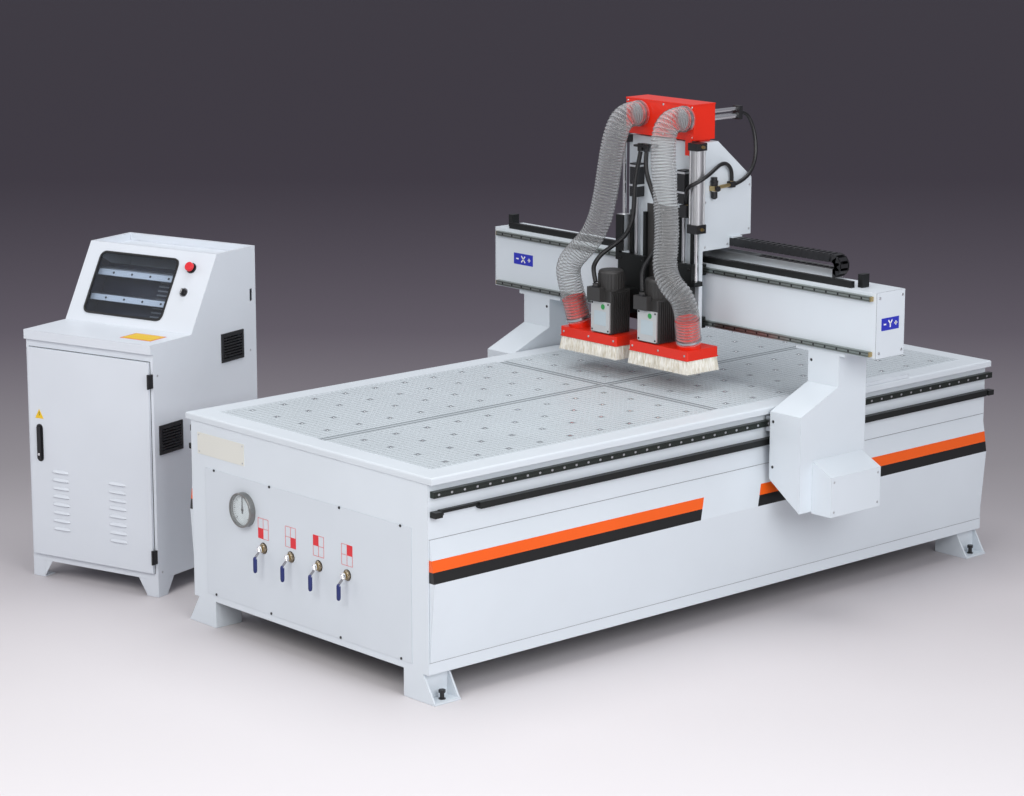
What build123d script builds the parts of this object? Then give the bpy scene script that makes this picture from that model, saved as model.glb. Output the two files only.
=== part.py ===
from build123d import *
import os
from math import atan2, cos, degrees, hypot, radians, sin, tan

# Flatbed CNC router: a welded bed with a vacuum table, a gantry on side rails, one
# carriage with two vertical heads, and a control cabinet that stands beside it.
# All sizes are in millimetres. X runs across the bed, Y along it and Z is up. The parts
# are drawn about the centre of the bed on the floor, and publish() moves them so that
# the origin is the middle of the whole machine's footprint.

os.makedirs("parts", exist_ok=True)

# ---------------------------------------------------------------- driving sizes: bed
bed_length = 3050.0
bed_half_width = 698.0
bed_top = 804.0
bed_low = 105.0
end_plate = 6.0
panel_sheet = 2.0
beam_tube_width = 80.0
beam_tube_wall = 6.0
side_beam_low = 601.0
cross_tube = 80.0
cross_tube_count = 5
bottom_rail_height = 44.0
bottom_rail_width = 68.0
opening_half_width = 600.0
opening_low = 140.0
opening_high = 620.0
panel_lap = 10.0
skin_crease_z = 444.0
skin_bulge = 25.5
skin_low = 150.0
skin_sheet = 3.0
skin_gap = 1.0

# feet
leg_inner_inset = 136.0
leg_outer_inset = 30.0
foot_flare = 34.0
foot_depth = 122.5
gusset = 8.0
foot_plate = 8.0
bolt_radius = 8.0
bolt_stand = 24.0
bolt_head_radius = 13.0
bolt_head_height = 11.0

# table
table_thickness = 26.0
table_side_overhang = 27.0
table_end_overhang = 5.0
table_edge_radius = 8.0
deck_side_border = 115.0
deck_end_border = 90.0
deck_thickness = 12.0
deck_seam = 2.0

# side rails and racks
rail_width = 23.0
rail_height = 22.0
rail_z = 765.0
rail_front_inset = 12.0
rail_rear_reach = 20.0
rack_size = 25.0
rack_z = 692.5
rack_front_inset = 45.0
rack_rear_inset = 10.0
stop_length = 34.0
stop_reach = 31.0

# gauge and valves on the service panel
gauge_x = -362.0
gauge_z = 511.0
gauge_radius = 67.0
gauge_depth = 26.0
bezel_width = 7.0
dial_recess = 16.0
needle_thickness = 1.5
valve_count = 4
valve_pitch = 166.0
valve_z = 382.0
valve_hole_radius = 22.0
valve_body_radius = 20.0
stem_radius = 9.0
lever_width = 16.0
lever_thickness = 3.0
lever_reach = 30.0
lever_drop = 88.0
grip_thickness = 9.0
screw_radius = 5.0
screw_height = 2.5

# gantry
gantry_front = 385.0
beam_depth = 160.0
beam_low = 1045.0
beam_high = 1300.0
beam_half_length = 1085.0
beam_wall = 8.0
beam_cap = 3.0
upright_gap = 42.0
upright_width = 160.0
upright_wall = 8.0
upright_neck_z = 908.0
upright_shoulder_z = 818.0
upright_nose = 210.0
upright_inner_low = 551.0
upright_outer_low = 437.0
flange_thickness = 16.0
flange_inner_reach = 65.0
flange_outer_reach = 30.0
motor_cover_front = 245.0
motor_cover_rear = 530.0
motor_cover_width = 100.0
motor_cover_low = 430.0
motor_cover_high_inner = 639.0
motor_cover_high_outer = 588.0
cover_sheet = 3.0
x_rail_width = 20.0
x_rail_height = 17.5
x_rail_inset = 24.0
x_rail_end_inset = 25.0
block_length = 84.0
block_width = 60.0
block_clearance = 0.3
pinion_radius = 29.5
shaft_radius = 10.0
shaft_clearance = 0.05
motor_square = 86.0
y_motor_z = 515.0
y_drive_y = 385.0
x_rack_depth = 20.0
x_rack_height = 25.0
x_rack_setback = 10.0
beam_stop_left = -1037.0
beam_stop_right = 958.0
beam_stop_size = 24.0
beam_stop_height = 52.0

# drag chain on the beam
chain_front = 500.0
chain_width = 55.0
chain_height = 32.0
chain_lift = 3.0
chain_upper_z = 1362.0
chain_anchor_x = 300.0
chain_bend_x = 745.0
tray_left = -130.0
tray_right = 755.0
tray_wall = 2.0
tray_height = 38.0

# carriage
saddle_half_width = 200.0
saddle_thickness = 20.0
saddle_front = 325.0
saddle_low = 1035.0
saddle_high = 1790.0
housing_low = 1355.0
housing_rear = 620.0
housing_top_rear = 424.0
housing_rear_high = 1630.0
housing_notch_z = 1399.0
housing_notch_front = 498.0
housing_sheet = 2.5
x_block_length = 70.0
x_block_width = 44.0
x_block_spread = 150.0
x_pinion_radius = 23.5
x_shaft_radius = 8.0

# vertical heads
head_spread = 134.0
z_rail_spread = 38.0
z_rail_width = 15.0
z_rail_depth = 15.0
z_rail_low = 1050.0
z_rail_high = 1485.0
head_plate_half = 75.0
head_plate_thickness = 18.0
head_plate_back = 290.0
head_plate_low = 1050.0
head_plate_high = 1310.0
z_block_width = 34.0
z_block_length = 60.0
screw_y = 303.0
z_screw_radius = 8.0
z_screw_low = 1060.0
z_screw_high = 1585.0
z_motor_square = 42.0
z_motor_height = 95.0
spindle_half = 55.0
spindle_back = 218.0
spindle_depth = 110.0
spindle_low = 1008.0
spindle_high = 1182.0
cap_radius = 52.0
cap_height = 80.0
connector_depth = 28.0
connector_width = 74.0
connector_height = 55.0
gland_radius = 13.0
gland_height = 15.0
rotor_radius = 15.0
rotor_clearance = 0.05
nut_radius = 21.0
collet_radius = 6.0
collet_depth = 30.0
rotor_low = 935.0

# dust hoods, brushes and extraction
hood_inner_x = 37.0
hood_outer_x = 364.0
hood_front = 100.0
hood_rear = 270.0
hood_low = 965.0
hood_high = 1005.0
hood_wall = 3.0
nose_hole_radius = 42.0
nose_ring_radius = 50.0
port_x = 310.0
port_y = 165.0
port_radius = 47.0
port_wall = 3.0
port_length = 125.0
port_lean_x = 0.12
port_lean_y = -0.25
brush_low = 905.0
brush_thickness = 12.0
brush_flare = 9.0
manifold_half_width = 190.0
manifold_front = 295.0
manifold_depth = 120.0
manifold_low = 1800.0
manifold_high = 1943.0
manifold_wall = 3.0
manifold_port_z = 1885.0
manifold_port_front = 262.0
manifold_port_left = -105.0
manifold_port_right = 150.0
outlet_radius = 60.0
outlet_length = 45.0
outlet_x = -60.0
outlet_z = 1871.0

# balance cylinder on the right and guide column on the left
cylinder_x = 210.0
cylinder_y = 298.0
cylinder_radius = 25.0
cylinder_bore = 20.0
cylinder_low = 1470.0
cylinder_high = 1765.0
cylinder_cap_low = 35.0
cylinder_cap_high = 30.0
cylinder_cap_half = 27.0
balance_rod_radius = 8.0
balance_rod_low = 1240.0
balance_rod_high = 1595.0
guide_x = -202.0
guide_y = 300.0
guide_radius = 8.5
guide_low = 1335.0
bush_low = 1318.0
bush_high = 1465.0
bush_half = 21.0

# cords
hose_diameter = 100.0
cable_diameter = 20.0
tube_diameter = 16.0

# cabinet, drawn with its front right corner at its own origin, front at y = 0
cabinet_x = -1051.0
cabinet_y = -1457.0
cabinet_turn = 16.12
cabinet_width = 649.0
cabinet_depth = 692.0
cabinet_low = 70.0
desk_z = 1027.5
desk_lip = 38.0
cabinet_high = 1328.0
slope_low_y = 261.0
slope_high_y = 438.0
cabinet_wall = 3.0
door_thickness = 13.5
door_gap = 0.5
door_side_border = 16.0
door_low = 98.0
door_high = 957.0
door_lip = 10.0
hinge_pin_radius = 3.3
hinge_clearance = 0.05
hinge_height = 55.0
hinge_places = (140.0, 855.0)
tray_floor_z = 1298.0
tray_border = 14.0
window_width = 400.0
window_height = 266.0
window_from_top = 174.0
window_centre_x = -372.0
window_radius = 14.0
window_thickness = 4.0
control_x = -100.0
stop_from_top = 71.0
switch_from_top = 177.0
vent_width = 146.0
vent_height = 118.0
vent_places = ((527.0, 938.0), (114.0, 638.0))
cabinet_foot = 60.0

# ---------------------------------------------------------------- places worked out
half_length = bed_length / 2
table_top = bed_top + table_thickness
table_half_width = bed_half_width + table_side_overhang
table_half_length = half_length + table_end_overhang
panel_face = half_length + panel_sheet
gantry_rear = gantry_front + beam_depth
upright_inner = bed_half_width + upright_gap
upright_outer = upright_inner + upright_width
upright_front = gantry_front - upright_nose
saddle_back = saddle_front + saddle_thickness
spindle_front = spindle_back - spindle_depth
spindle_y = (spindle_front + spindle_back) / 2
head_plate_front = head_plate_back - head_plate_thickness
valve_places = [(n - (valve_count - 1) / 2) * valve_pitch for n in range(valve_count)]
slope_length = hypot(slope_high_y - slope_low_y, cabinet_high - desk_z)
slope_tilt = degrees(atan2(cabinet_high - desk_z, slope_high_y - slope_low_y))
turn = radians(cabinet_turn)
cabinet_left = cabinet_x - cabinet_width * cos(turn) - cabinet_depth * sin(turn)
cabinet_front = cabinet_y - cabinet_width * sin(turn)
rail_rear = half_length + rail_rear_reach
stop_rear = half_length - rack_rear_inset + stop_length
origin_x = (cabinet_left + beam_half_length) / 2
origin_y = (cabinet_front + max(rail_rear, stop_rear, table_half_length)) / 2
machine_place = Location((-origin_x, -origin_y, 0))
cabinet_place = Location((cabinet_x - origin_x, cabinet_y - origin_y, 0), (0, 0, cabinet_turn))


# ---------------------------------------------------------------- drawing helpers
def block(x0, x1, y0, y1, z0, z1, mode=Mode.ADD):
    """A box between two opposite corners."""
    centre = ((x0 + x1) / 2, (y0 + y1) / 2, (z0 + z1) / 2)
    with Locations(centre):
        Box(abs(x1 - x0), abs(y1 - y0), abs(z1 - z0), mode=mode)


def round_bar(start, axis, radius, length, mode=Mode.ADD):
    """A cylinder that starts at a point and runs along +X, +Y or +Z."""
    turns = {"x": (0, 90, 0), "y": (-90, 0, 0), "z": (0, 0, 0)}
    with Locations(Location(start, turns[axis])):
        Cylinder(radius, length, align=(Align.CENTER, Align.CENTER, Align.MIN), mode=mode)


def prism_along_x(points, x0, x1, mode=Mode.ADD):
    """A (y, z) outline carried from x0 to x1."""
    with BuildSketch(Plane.YZ.offset(x0)) as outline:
        Polygon(*points, align=None)
    extrude(outline.sketch, amount=x1 - x0, mode=mode)


def prism_along_y(points, y0, y1, mode=Mode.ADD):
    """An (x, z) outline carried from y0 to y1."""
    with BuildSketch(Plane(origin=(0, y0, 0), x_dir=(1, 0, 0), z_dir=(0, -1, 0))) as outline:
        Polygon(*points, align=None)
    extrude(outline.sketch, amount=y0 - y1, mode=mode)


def publish(item, name, place=machine_place):
    """Label a finished sub-part, put it in the machine's frame and write its file."""
    moved = item.part.moved(place)
    moved.label = name
    export_step(moved, f"parts/{name}.step")


def corner_radii(points):
    """The largest tangent arc at each inner point of a route: 0.45 of the shorter run."""
    radii = []
    for before, here, after in zip(points, points[1:], points[2:]):
        into = Vector(*here) - Vector(*before)
        out = Vector(*after) - Vector(*here)
        half_turn = radians(into.get_angle(out)) / 2
        radii.append(0.45 * min(into.length, out.length) / tan(half_turn))
    return radii


def cord(points, diameter, name):
    """A flexible tube along a route of straight runs joined by tangent arcs."""
    radii = corner_radii(points)
    with BuildPart() as tube:
        with BuildLine():
            path = FilletPolyline(*points, radius=radii)
        with BuildSketch(Plane(origin=path @ 0, z_dir=path % 0)):
            Circle(diameter / 2)
        sweep(path=path)
    section = 3.141592653589793 * diameter**2 / 4
    rounded = [round(r) for r in radii]
    print(f"{name}: radii {rounded}, length {path.length:.0f},")
    print(f"  volume over section x length {tube.part.volume / (section * path.length):.4f}")
    publish(tube, name)


# ---------------------------------------------------------------- bed frame
with BuildPart() as bed_frame:
    run = half_length - end_plate
    for side in (-1, 1):
        inner = side * (bed_half_width - beam_tube_width)
        outer = side * bed_half_width
        wall = side * beam_tube_wall
        block(inner, outer, -run, run, side_beam_low, bed_top)
        block(inner + wall, outer - wall, -run + 1, run - 1, side_beam_low + beam_tube_wall,
              bed_top - beam_tube_wall, mode=Mode.SUBTRACT)
        rail_in = side * (bed_half_width - bottom_rail_width)
        block(rail_in, outer, -run, run, bed_low, bed_low + bottom_rail_height)
        for post_y in (-run, -beam_tube_width / 2, run - beam_tube_width):
            block(rail_in, outer - side * 2 * skin_sheet, post_y, post_y + beam_tube_width,
                  bed_low + bottom_rail_height, side_beam_low)
    inner_half = bed_half_width - beam_tube_width
    for n in range(cross_tube_count):
        middle = (n / (cross_tube_count - 1) - 0.5) * 2 * (run - cross_tube / 2)
        block(-inner_half, inner_half, middle - cross_tube / 2, middle + cross_tube / 2,
              bed_top - cross_tube, bed_top)
        block(-inner_half + 1, inner_half - 1, middle - cross_tube / 2 + beam_tube_wall,
              middle + cross_tube / 2 - beam_tube_wall, bed_top - cross_tube + beam_tube_wall,
              bed_top - beam_tube_wall, mode=Mode.SUBTRACT)
    for end in (-1, 1):
        block(-bed_half_width, bed_half_width, end * run, end * half_length, bed_low, bed_top)
        block(-opening_half_width, opening_half_width, end * (run - 1), end * (half_length + 1),
              opening_low, opening_high, mode=Mode.SUBTRACT)
    # four welded feet, each a box leg with a gusset plate at the front and the back
    for side in (-1, 1):
        for end in (-1, 1):
            leg_in = side * (bed_half_width - leg_inner_inset)
            leg_out = side * (bed_half_width - leg_outer_inset)
            tip = side * (bed_half_width + foot_flare)
            face = end * half_length
            back = end * (half_length - foot_depth)
            block(leg_in, leg_out, face, back, 0, bed_low + 1)
            for plate_face in (face, back + end * gusset):
                prism_along_y([(leg_out, 0), (tip, 0), (leg_out, bed_low)],
                              plate_face, plate_face - end * gusset)
            block(leg_out, tip, face, back, 0, foot_plate)
publish(bed_frame, "bed_frame")

with BuildPart() as fasteners:
    for side in (-1, 1):
        for end in (-1, 1):
            bolt_x = side * (bed_half_width - leg_outer_inset + (foot_flare + leg_outer_inset) / 2)
            bolt_y = end * (half_length - foot_depth / 2)
            round_bar((bolt_x, bolt_y, foot_plate), "z", bolt_radius, bolt_stand)
            with Locations((bolt_x, bolt_y, foot_plate)):
                Cylinder(bolt_head_radius, 3, align=(Align.CENTER, Align.CENTER, Align.MIN))
            with BuildSketch(Plane.XY.offset(foot_plate + bolt_stand)):
                with Locations((bolt_x, bolt_y)):
                    RegularPolygon(bolt_head_radius, 6)
            extrude(amount=bolt_head_height)
panel_half = opening_half_width + panel_lap
with BuildPart() as service_panels:
    for end in (-1, 1):
        block(-panel_half, panel_half, end * half_length, end * panel_face,
              opening_low - panel_lap, opening_high + panel_lap)
    round_bar((gauge_x, -panel_face - 1, gauge_z), "y", gauge_radius - 2 * bezel_width,
              panel_sheet + 2, mode=Mode.SUBTRACT)
    for valve_x in valve_places:
        round_bar((valve_x, -panel_face - 1, valve_z), "y", valve_hole_radius,
                  panel_sheet + 2, mode=Mode.SUBTRACT)
publish(service_panels, "service_panels")

with fasteners:
    for end in (-1, 1):
        for screw_x in (-0.905, -0.34, 0.34, 0.905):
            for row_z in (opening_low - panel_lap + 7, opening_high + panel_lap - 3):
                start_y = -panel_face - screw_height if end < 0 else panel_face
                round_bar((screw_x * panel_half, start_y, row_z), "y", screw_radius, screw_height)
publish(fasteners, "fasteners")

with BuildPart() as side_skins:
    skin_run = half_length - end_plate - skin_gap
    for side in (-1, 1):
        a = bed_half_width + skin_gap
        top = side_beam_low - skin_gap
        crease = (side * (a + skin_bulge), skin_crease_z)
        outline = [(side * (a - skin_sheet), skin_low), (side * a, skin_low), crease,
                   (side * a, top), (side * (a - skin_sheet), top)]
        prism_along_y(outline, -skin_run, skin_run)
        inset = side * skin_sheet
        hollow = [(side * a - inset, skin_low - 1), (side * a - inset, skin_low + 4 * skin_sheet),
                  (crease[0] - inset, skin_crease_z), (side * a - inset, top - 4 * skin_sheet)]
        prism_along_y(hollow, -skin_run + skin_sheet, skin_run - skin_sheet, mode=Mode.SUBTRACT)
publish(side_skins, "side_skins")

# ---------------------------------------------------------------- table and vacuum deck
deck_half_width = table_half_width - deck_side_border
deck_half_length = table_half_length - deck_end_border
with BuildPart() as tabletop:
    block(-table_half_width, table_half_width, -table_half_length, table_half_length,
          bed_top, table_top)
    fillet(tabletop.edges().group_by(Axis.Z)[-1], table_edge_radius)
    block(-deck_half_width, deck_half_width, -deck_half_length, deck_half_length,
          table_top - deck_thickness, table_top, mode=Mode.SUBTRACT)
publish(tabletop, "tabletop")

with BuildPart() as vacuum_deck:
    for side in (-1, 1):
        for end in (-1, 1):
            block(side * deck_seam / 2, side * (deck_half_width - deck_seam / 2),
                  end * deck_seam / 2, end * (deck_half_length - deck_seam / 2),
                  table_top - deck_thickness, table_top)
publish(vacuum_deck, "vacuum_deck")

# ---------------------------------------------------------------- side rails and racks
with BuildPart() as y_rails:
    for side in (-1, 1):
        block(side * bed_half_width, side * (bed_half_width + rail_height),
              -half_length + rail_front_inset, rail_rear,
              rail_z - rail_width / 2, rail_z + rail_width / 2)
publish(y_rails, "y_rails")

rack_low = rack_z - rack_size / 2
with BuildPart() as y_racks:
    for side in (-1, 1):
        rack_front = -half_length + rack_front_inset
        rack_rear = half_length - rack_rear_inset
        block(side * bed_half_width, side * (bed_half_width + rack_size), rack_front, rack_rear,
              rack_low, rack_low + rack_size)
        for stop_y in (rack_front - stop_length, rack_rear):
            block(side * bed_half_width, side * (bed_half_width + stop_reach), stop_y,
                  stop_y + stop_length, rack_low + 2, rack_low + rack_size - 2)
publish(y_racks, "y_racks")

# ---------------------------------------------------------------- gauge and valves
with BuildPart() as gauge_body:
    round_bar((gauge_x, -panel_face - gauge_depth, gauge_z), "y", gauge_radius, gauge_depth)
    round_bar((gauge_x, -panel_face, gauge_z), "y", gauge_radius - 3 * bezel_width, 30)
    round_bar((gauge_x, -panel_face, gauge_z), "y", stem_radius, 70)
    fillet(gauge_body.faces().sort_by(Axis.Y)[0].edges(), bezel_width / 2)
    round_bar((gauge_x, -panel_face - gauge_depth, gauge_z), "y", gauge_radius - bezel_width,
              dial_recess, mode=Mode.SUBTRACT)
    hub_y = -panel_face - gauge_depth + dial_recess
    round_bar((gauge_x, hub_y - 2, gauge_z), "y", 2.5, 2)
publish(gauge_body, "gauge_body")

with BuildPart() as gauge_needle:
    needle_y = hub_y - 2 - needle_thickness
    round_bar((gauge_x, needle_y, gauge_z), "y", 6, needle_thickness)
    needle = gauge_radius - 2 * bezel_width
    points = [(gauge_x - 3, gauge_z - 14), (gauge_x + 3, gauge_z - 14),
              (gauge_x + 1, gauge_z + needle), (gauge_x - 1, gauge_z + needle)]
    prism_along_y(points, needle_y, needle_y + needle_thickness)
publish(gauge_needle, "gauge_needle")

stem_front = -panel_face - 18
with BuildPart() as valve_bodies:
    for valve_x in valve_places:
        round_bar((valve_x, -half_length + end_plate + 4, valve_z), "y", valve_body_radius, 90)
        stem_back = -half_length + end_plate + 6
        round_bar((valve_x, stem_front + 6, valve_z), "y", stem_radius + 4, stem_back - stem_front - 6)
        round_bar((valve_x, stem_front, valve_z), "y", stem_radius - 3, stem_back - stem_front)
    pipe_y = -half_length + end_plate + 94
    block(valve_places[0] - 40, valve_places[-1] + 40, pipe_y, pipe_y + 50, valve_z - 25,
          valve_z + 25)
    round_bar((0, pipe_y + 25, valve_z + 25), "z", valve_body_radius, 300)
publish(valve_bodies, "valve_bodies")

for number, valve_x in enumerate(valve_places, start=1):
    with BuildPart() as valve_lever:
        plate_back = stem_front - 0.2
        plate_front = plate_back - lever_thickness
        round_bar((valve_x, plate_front, valve_z), "y", lever_width * 0.75, lever_thickness)
        front = plate_front - lever_reach
        arm = [(plate_back, valve_z), (plate_front, valve_z),
               (plate_front, valve_z - 14), (front, valve_z - 34),
               (front, valve_z - lever_drop + 4), (front + lever_thickness, valve_z - lever_drop + 4),
               (front + lever_thickness, valve_z - 36), (plate_back, valve_z - 16)]
        prism_along_x(arm, valve_x - lever_width / 2, valve_x + lever_width / 2)
        grip_middle = front + lever_thickness / 2
        block(valve_x - lever_width * 0.6, valve_x + lever_width * 0.6,
              grip_middle - grip_thickness / 2, grip_middle + grip_thickness / 2,
              valve_z - lever_drop, valve_z - 38)
    publish(valve_lever, f"valve_lever_{number}")

# ---------------------------------------------------------------- gantry
with BuildPart() as uprights:
    top_z = beam_low - flange_thickness
    profile = [(gantry_front, top_z), (gantry_front, upright_neck_z),
               (upright_front, upright_shoulder_z), (upright_front, upright_outer_low),
               (gantry_rear, upright_outer_low), (gantry_rear, top_z)]
    w = upright_wall
    hollow = [(gantry_front + w, top_z - w), (gantry_front + w, upright_neck_z - w / 2),
              (upright_front + w, upright_shoulder_z - w / 2), (upright_front + w, upright_outer_low - 1),
              (gantry_rear - w, upright_outer_low - 1), (gantry_rear - w, top_z - w)]
    for side in (-1, 1):
        inner = side * upright_inner
        outer = side * upright_outer
        prism_along_x(profile, inner, outer)
        prism_along_x(hollow, inner + side * w, outer - side * w, mode=Mode.SUBTRACT)
        # the underside slopes, so that the foot clears the bed's folded side skin
        wedge = [(inner - side, upright_inner_low), (outer, upright_outer_low),
                 (outer, upright_outer_low - 20), (inner - side, upright_outer_low - 20)]
        prism_along_y(wedge, upright_front - 1, gantry_rear + 1, mode=Mode.SUBTRACT)
        # shaft hole on the bed side and motor hole on the outer side
        hole_x = min(inner, inner + side * w) - 1
        round_bar((hole_x, y_drive_y, rack_low - pinion_radius - 0.5), "x", shaft_radius + 4,
                  w + 2, mode=Mode.SUBTRACT)
        block(outer - side * (w + 1), outer + side, y_drive_y - motor_square / 2 - 4,
              y_drive_y + motor_square / 2 + 4, y_motor_z - motor_square / 2 - 4,
              y_motor_z + motor_square / 2 + 4, mode=Mode.SUBTRACT)
        block(inner - side * flange_inner_reach, outer + side * flange_outer_reach,
              gantry_front, gantry_rear, top_z, beam_low)
        # motor cover, a folded sheet box with a sloping roof
        far = outer + side * motor_cover_width
        roof = [(outer, motor_cover_low), (far, motor_cover_low), (far, motor_cover_high_outer),
                (outer, motor_cover_high_inner)]
        prism_along_y(roof, motor_cover_front, motor_cover_rear)
        s = side * cover_sheet
        cavity = [(outer - s, motor_cover_low + cover_sheet), (far - s, motor_cover_low + cover_sheet),
                  (far - s, motor_cover_high_outer - cover_sheet),
                  (outer, motor_cover_high_inner - cover_sheet),
                  (outer - s, motor_cover_high_inner - cover_sheet)]
        prism_along_y(cavity, motor_cover_front + cover_sheet, motor_cover_rear - cover_sheet,
                      mode=Mode.SUBTRACT)
publish(uprights, "uprights")

with BuildPart() as gantry_beam:
    body = beam_half_length - beam_cap
    block(-body, body, gantry_front, gantry_rear, beam_low, beam_high)
    block(-body, body, gantry_front + beam_wall, gantry_rear - beam_wall,
          beam_low + beam_wall, beam_high - beam_wall, mode=Mode.SUBTRACT)
    for side in (-1, 1):
        block(side * body, side * beam_half_length, gantry_front, gantry_rear, beam_low, beam_high)
publish(gantry_beam, "gantry_beam")

x_rail_zs = (beam_low + x_rail_inset - 7, beam_high - x_rail_inset)
with BuildPart() as x_rails:
    reach = beam_half_length - x_rail_end_inset
    for z in x_rail_zs:
        block(-reach, reach, gantry_front - x_rail_height, gantry_front,
              z - x_rail_width / 2, z + x_rail_width / 2)
publish(x_rails, "x_rails")

x_rack_front = gantry_front + x_rack_setback
x_rack_back = x_rack_front + x_rack_depth
with BuildPart() as x_rack:
    block(beam_stop_left + 30, beam_stop_right - 15, x_rack_front, x_rack_back,
          beam_high, beam_high + x_rack_height)
    for stop_x in (beam_stop_left, beam_stop_right):
        block(stop_x - beam_stop_size / 2, stop_x + beam_stop_size / 2, 430, 430 + beam_stop_size * 1.6,
              beam_high, beam_high + beam_stop_height)
publish(x_rack, "x_rack")

with BuildPart() as y_bearing_blocks:
    block_back = upright_inner
    for side in (-1, 1):
        for middle in (upright_front + 55, gantry_rear - 55):
            block(side * (bed_half_width + 7), side * block_back, middle - block_length / 2,
                  middle + block_length / 2, rail_z - block_width / 2, rail_z + block_width / 2)
            block(side * (bed_half_width + 6), side * (bed_half_width + rail_height + block_clearance),
                  middle - block_length, middle + block_length,
                  rail_z - rail_width / 2 - block_clearance,
                  rail_z + rail_width / 2 + block_clearance, mode=Mode.SUBTRACT)
publish(y_bearing_blocks, "y_bearing_blocks")

pinion_z = rack_low - pinion_radius - 0.5
gear_inner = upright_inner + upright_wall
gear_outer = gear_inner + 46
with BuildPart() as y_drives:
    for side in (-1, 1):
        block(side * gear_inner, side * gear_outer, y_drive_y - 48, y_drive_y + 48,
              y_motor_z - 48, pinion_z + 42)
        block(side * gear_outer, side * (upright_outer + motor_cover_width - 16),
              y_drive_y - motor_square / 2, y_drive_y + motor_square / 2,
              y_motor_z - motor_square / 2, y_motor_z + motor_square / 2)
        bore_x = gear_inner if side > 0 else -gear_inner - 30
        round_bar((bore_x, y_drive_y, pinion_z), "x", shaft_radius + shaft_clearance, 30,
                  mode=Mode.SUBTRACT)
publish(y_drives, "y_drives")


def gear_outline(radius, teeth, depth):
    """The points of a straight-sided gear with the given tip radius."""
    points = []
    pitch = 360 / teeth
    for n in range(teeth):
        for part_turn, r in ((0.0, radius - depth), (0.3, radius - depth), (0.45, radius), (0.85, radius)):
            angle = radians((n + part_turn) * pitch)
            points.append((r * cos(angle), r * sin(angle)))
    return points


with BuildPart() as y_pinions:
    for side in (-1, 1):
        start = bed_half_width + 5
        finish = start + 22
        plane = Plane(origin=(side * start, y_drive_y, pinion_z), x_dir=(0, 1, 0), z_dir=(side, 0, 0))
        with BuildSketch(plane):
            Polygon(*gear_outline(pinion_radius, 20, 6), align=None)
        extrude(amount=finish - start)
        shaft_x = finish if side > 0 else -gear_inner - 28
        round_bar((shaft_x, y_drive_y, pinion_z), "x", shaft_radius, gear_inner + 28 - finish)
publish(y_pinions, "y_pinions")

# ---------------------------------------------------------------- drag chain
chain_rear = chain_front + chain_width
chain_low = beam_high + chain_lift
chain_top = chain_upper_z + chain_height
with BuildPart() as chain_tray:
    block(tray_left, tray_right, chain_front - tray_wall - 2, chain_rear + tray_wall + 2,
          beam_high, beam_high + tray_height)
    block(tray_left - 1, tray_right + 1, chain_front - 2, chain_rear + 2,
          beam_high + tray_wall, beam_high + tray_height + 1, mode=Mode.SUBTRACT)
publish(chain_tray, "chain_tray")

with BuildPart() as chain_lower_run:
    block(chain_anchor_x, chain_bend_x, chain_front, chain_rear, chain_low, chain_low + chain_height)
    bend_z = (chain_low + chain_top) / 2
    bend_radius = (chain_top - chain_low) / 2
    round_bar((chain_bend_x, chain_front, bend_z), "y", bend_radius, chain_width)
    round_bar((chain_bend_x, chain_front - 1, bend_z), "y", bend_radius - chain_height,
              chain_width + 2, mode=Mode.SUBTRACT)
    block(chain_bend_x - bend_radius - 1, chain_bend_x, chain_front - 1, chain_rear + 1,
          chain_low + chain_height, chain_top + 1, mode=Mode.SUBTRACT)
publish(chain_lower_run, "chain_lower_run")

chain_start_x = saddle_half_width - 10
with BuildPart() as chain_upper_run:
    block(chain_start_x, chain_bend_x, chain_front, chain_rear, chain_upper_z, chain_top)
publish(chain_upper_run, "chain_upper_run")

# ---------------------------------------------------------------- carriage
with BuildPart() as saddle_plate:
    block(-saddle_half_width, saddle_half_width, saddle_front, saddle_back, saddle_low, saddle_high)
    # shelf for the drive motor and a bracket for the cable glands
    block(-60, 60, saddle_back, saddle_back + 150, housing_low - 5, housing_low + 3)
    round_bar((0, x_rack_back + x_pinion_radius + 0.5, housing_low - 6), "z", 20, 10,
              mode=Mode.SUBTRACT)
publish(saddle_plate, "saddle_plate")

with BuildPart() as carriage_guides:
    for z in x_rail_zs:
        for side in (-1, 1):
            block(side * x_block_spread - x_block_length / 2, side * x_block_spread + x_block_length / 2,
                  saddle_back, gantry_front - 3, z - x_block_width / 2, z + x_block_width / 2)
            block(side * x_block_spread - x_block_length, side * x_block_spread + x_block_length,
                  gantry_front - x_rail_height - block_clearance, gantry_front,
                  z - x_rail_width / 2 - block_clearance, z + x_rail_width / 2 + block_clearance,
                  mode=Mode.SUBTRACT)
    for side in (-1, 1):
        for spread in (-z_rail_spread, z_rail_spread):
            middle = side * head_spread + spread
            block(middle - z_rail_width / 2, middle + z_rail_width / 2,
                  saddle_front - z_rail_depth, saddle_front, z_rail_low, z_rail_high)
publish(carriage_guides, "carriage_guides")

with BuildPart() as rear_housing:
    outline = [(saddle_back, housing_low), (saddle_back, saddle_high), (housing_top_rear, saddle_high),
               (housing_rear, housing_rear_high), (housing_rear, housing_notch_z),
               (housing_notch_front, housing_notch_z), (housing_notch_front, housing_low)]
    prism_along_x(outline, -saddle_half_width, saddle_half_width)
    t = housing_sheet
    cavity = [(saddle_back - 1, housing_low - 1), (saddle_back - 1, saddle_high - t),
              (housing_top_rear - t / 2, saddle_high - t), (housing_rear - t, housing_rear_high - t / 2),
              (housing_rear - t, housing_notch_z + t), (housing_notch_front - t, housing_notch_z + t),
              (housing_notch_front - t, housing_low - 1)]
    prism_along_x(cavity, -saddle_half_width + t, saddle_half_width - t, mode=Mode.SUBTRACT)
    # end bracket of the drag chain, under the notch
    block(saddle_half_width - 40, saddle_half_width + 16, chain_front, chain_rear,
          chain_top, housing_notch_z + 1)
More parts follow.
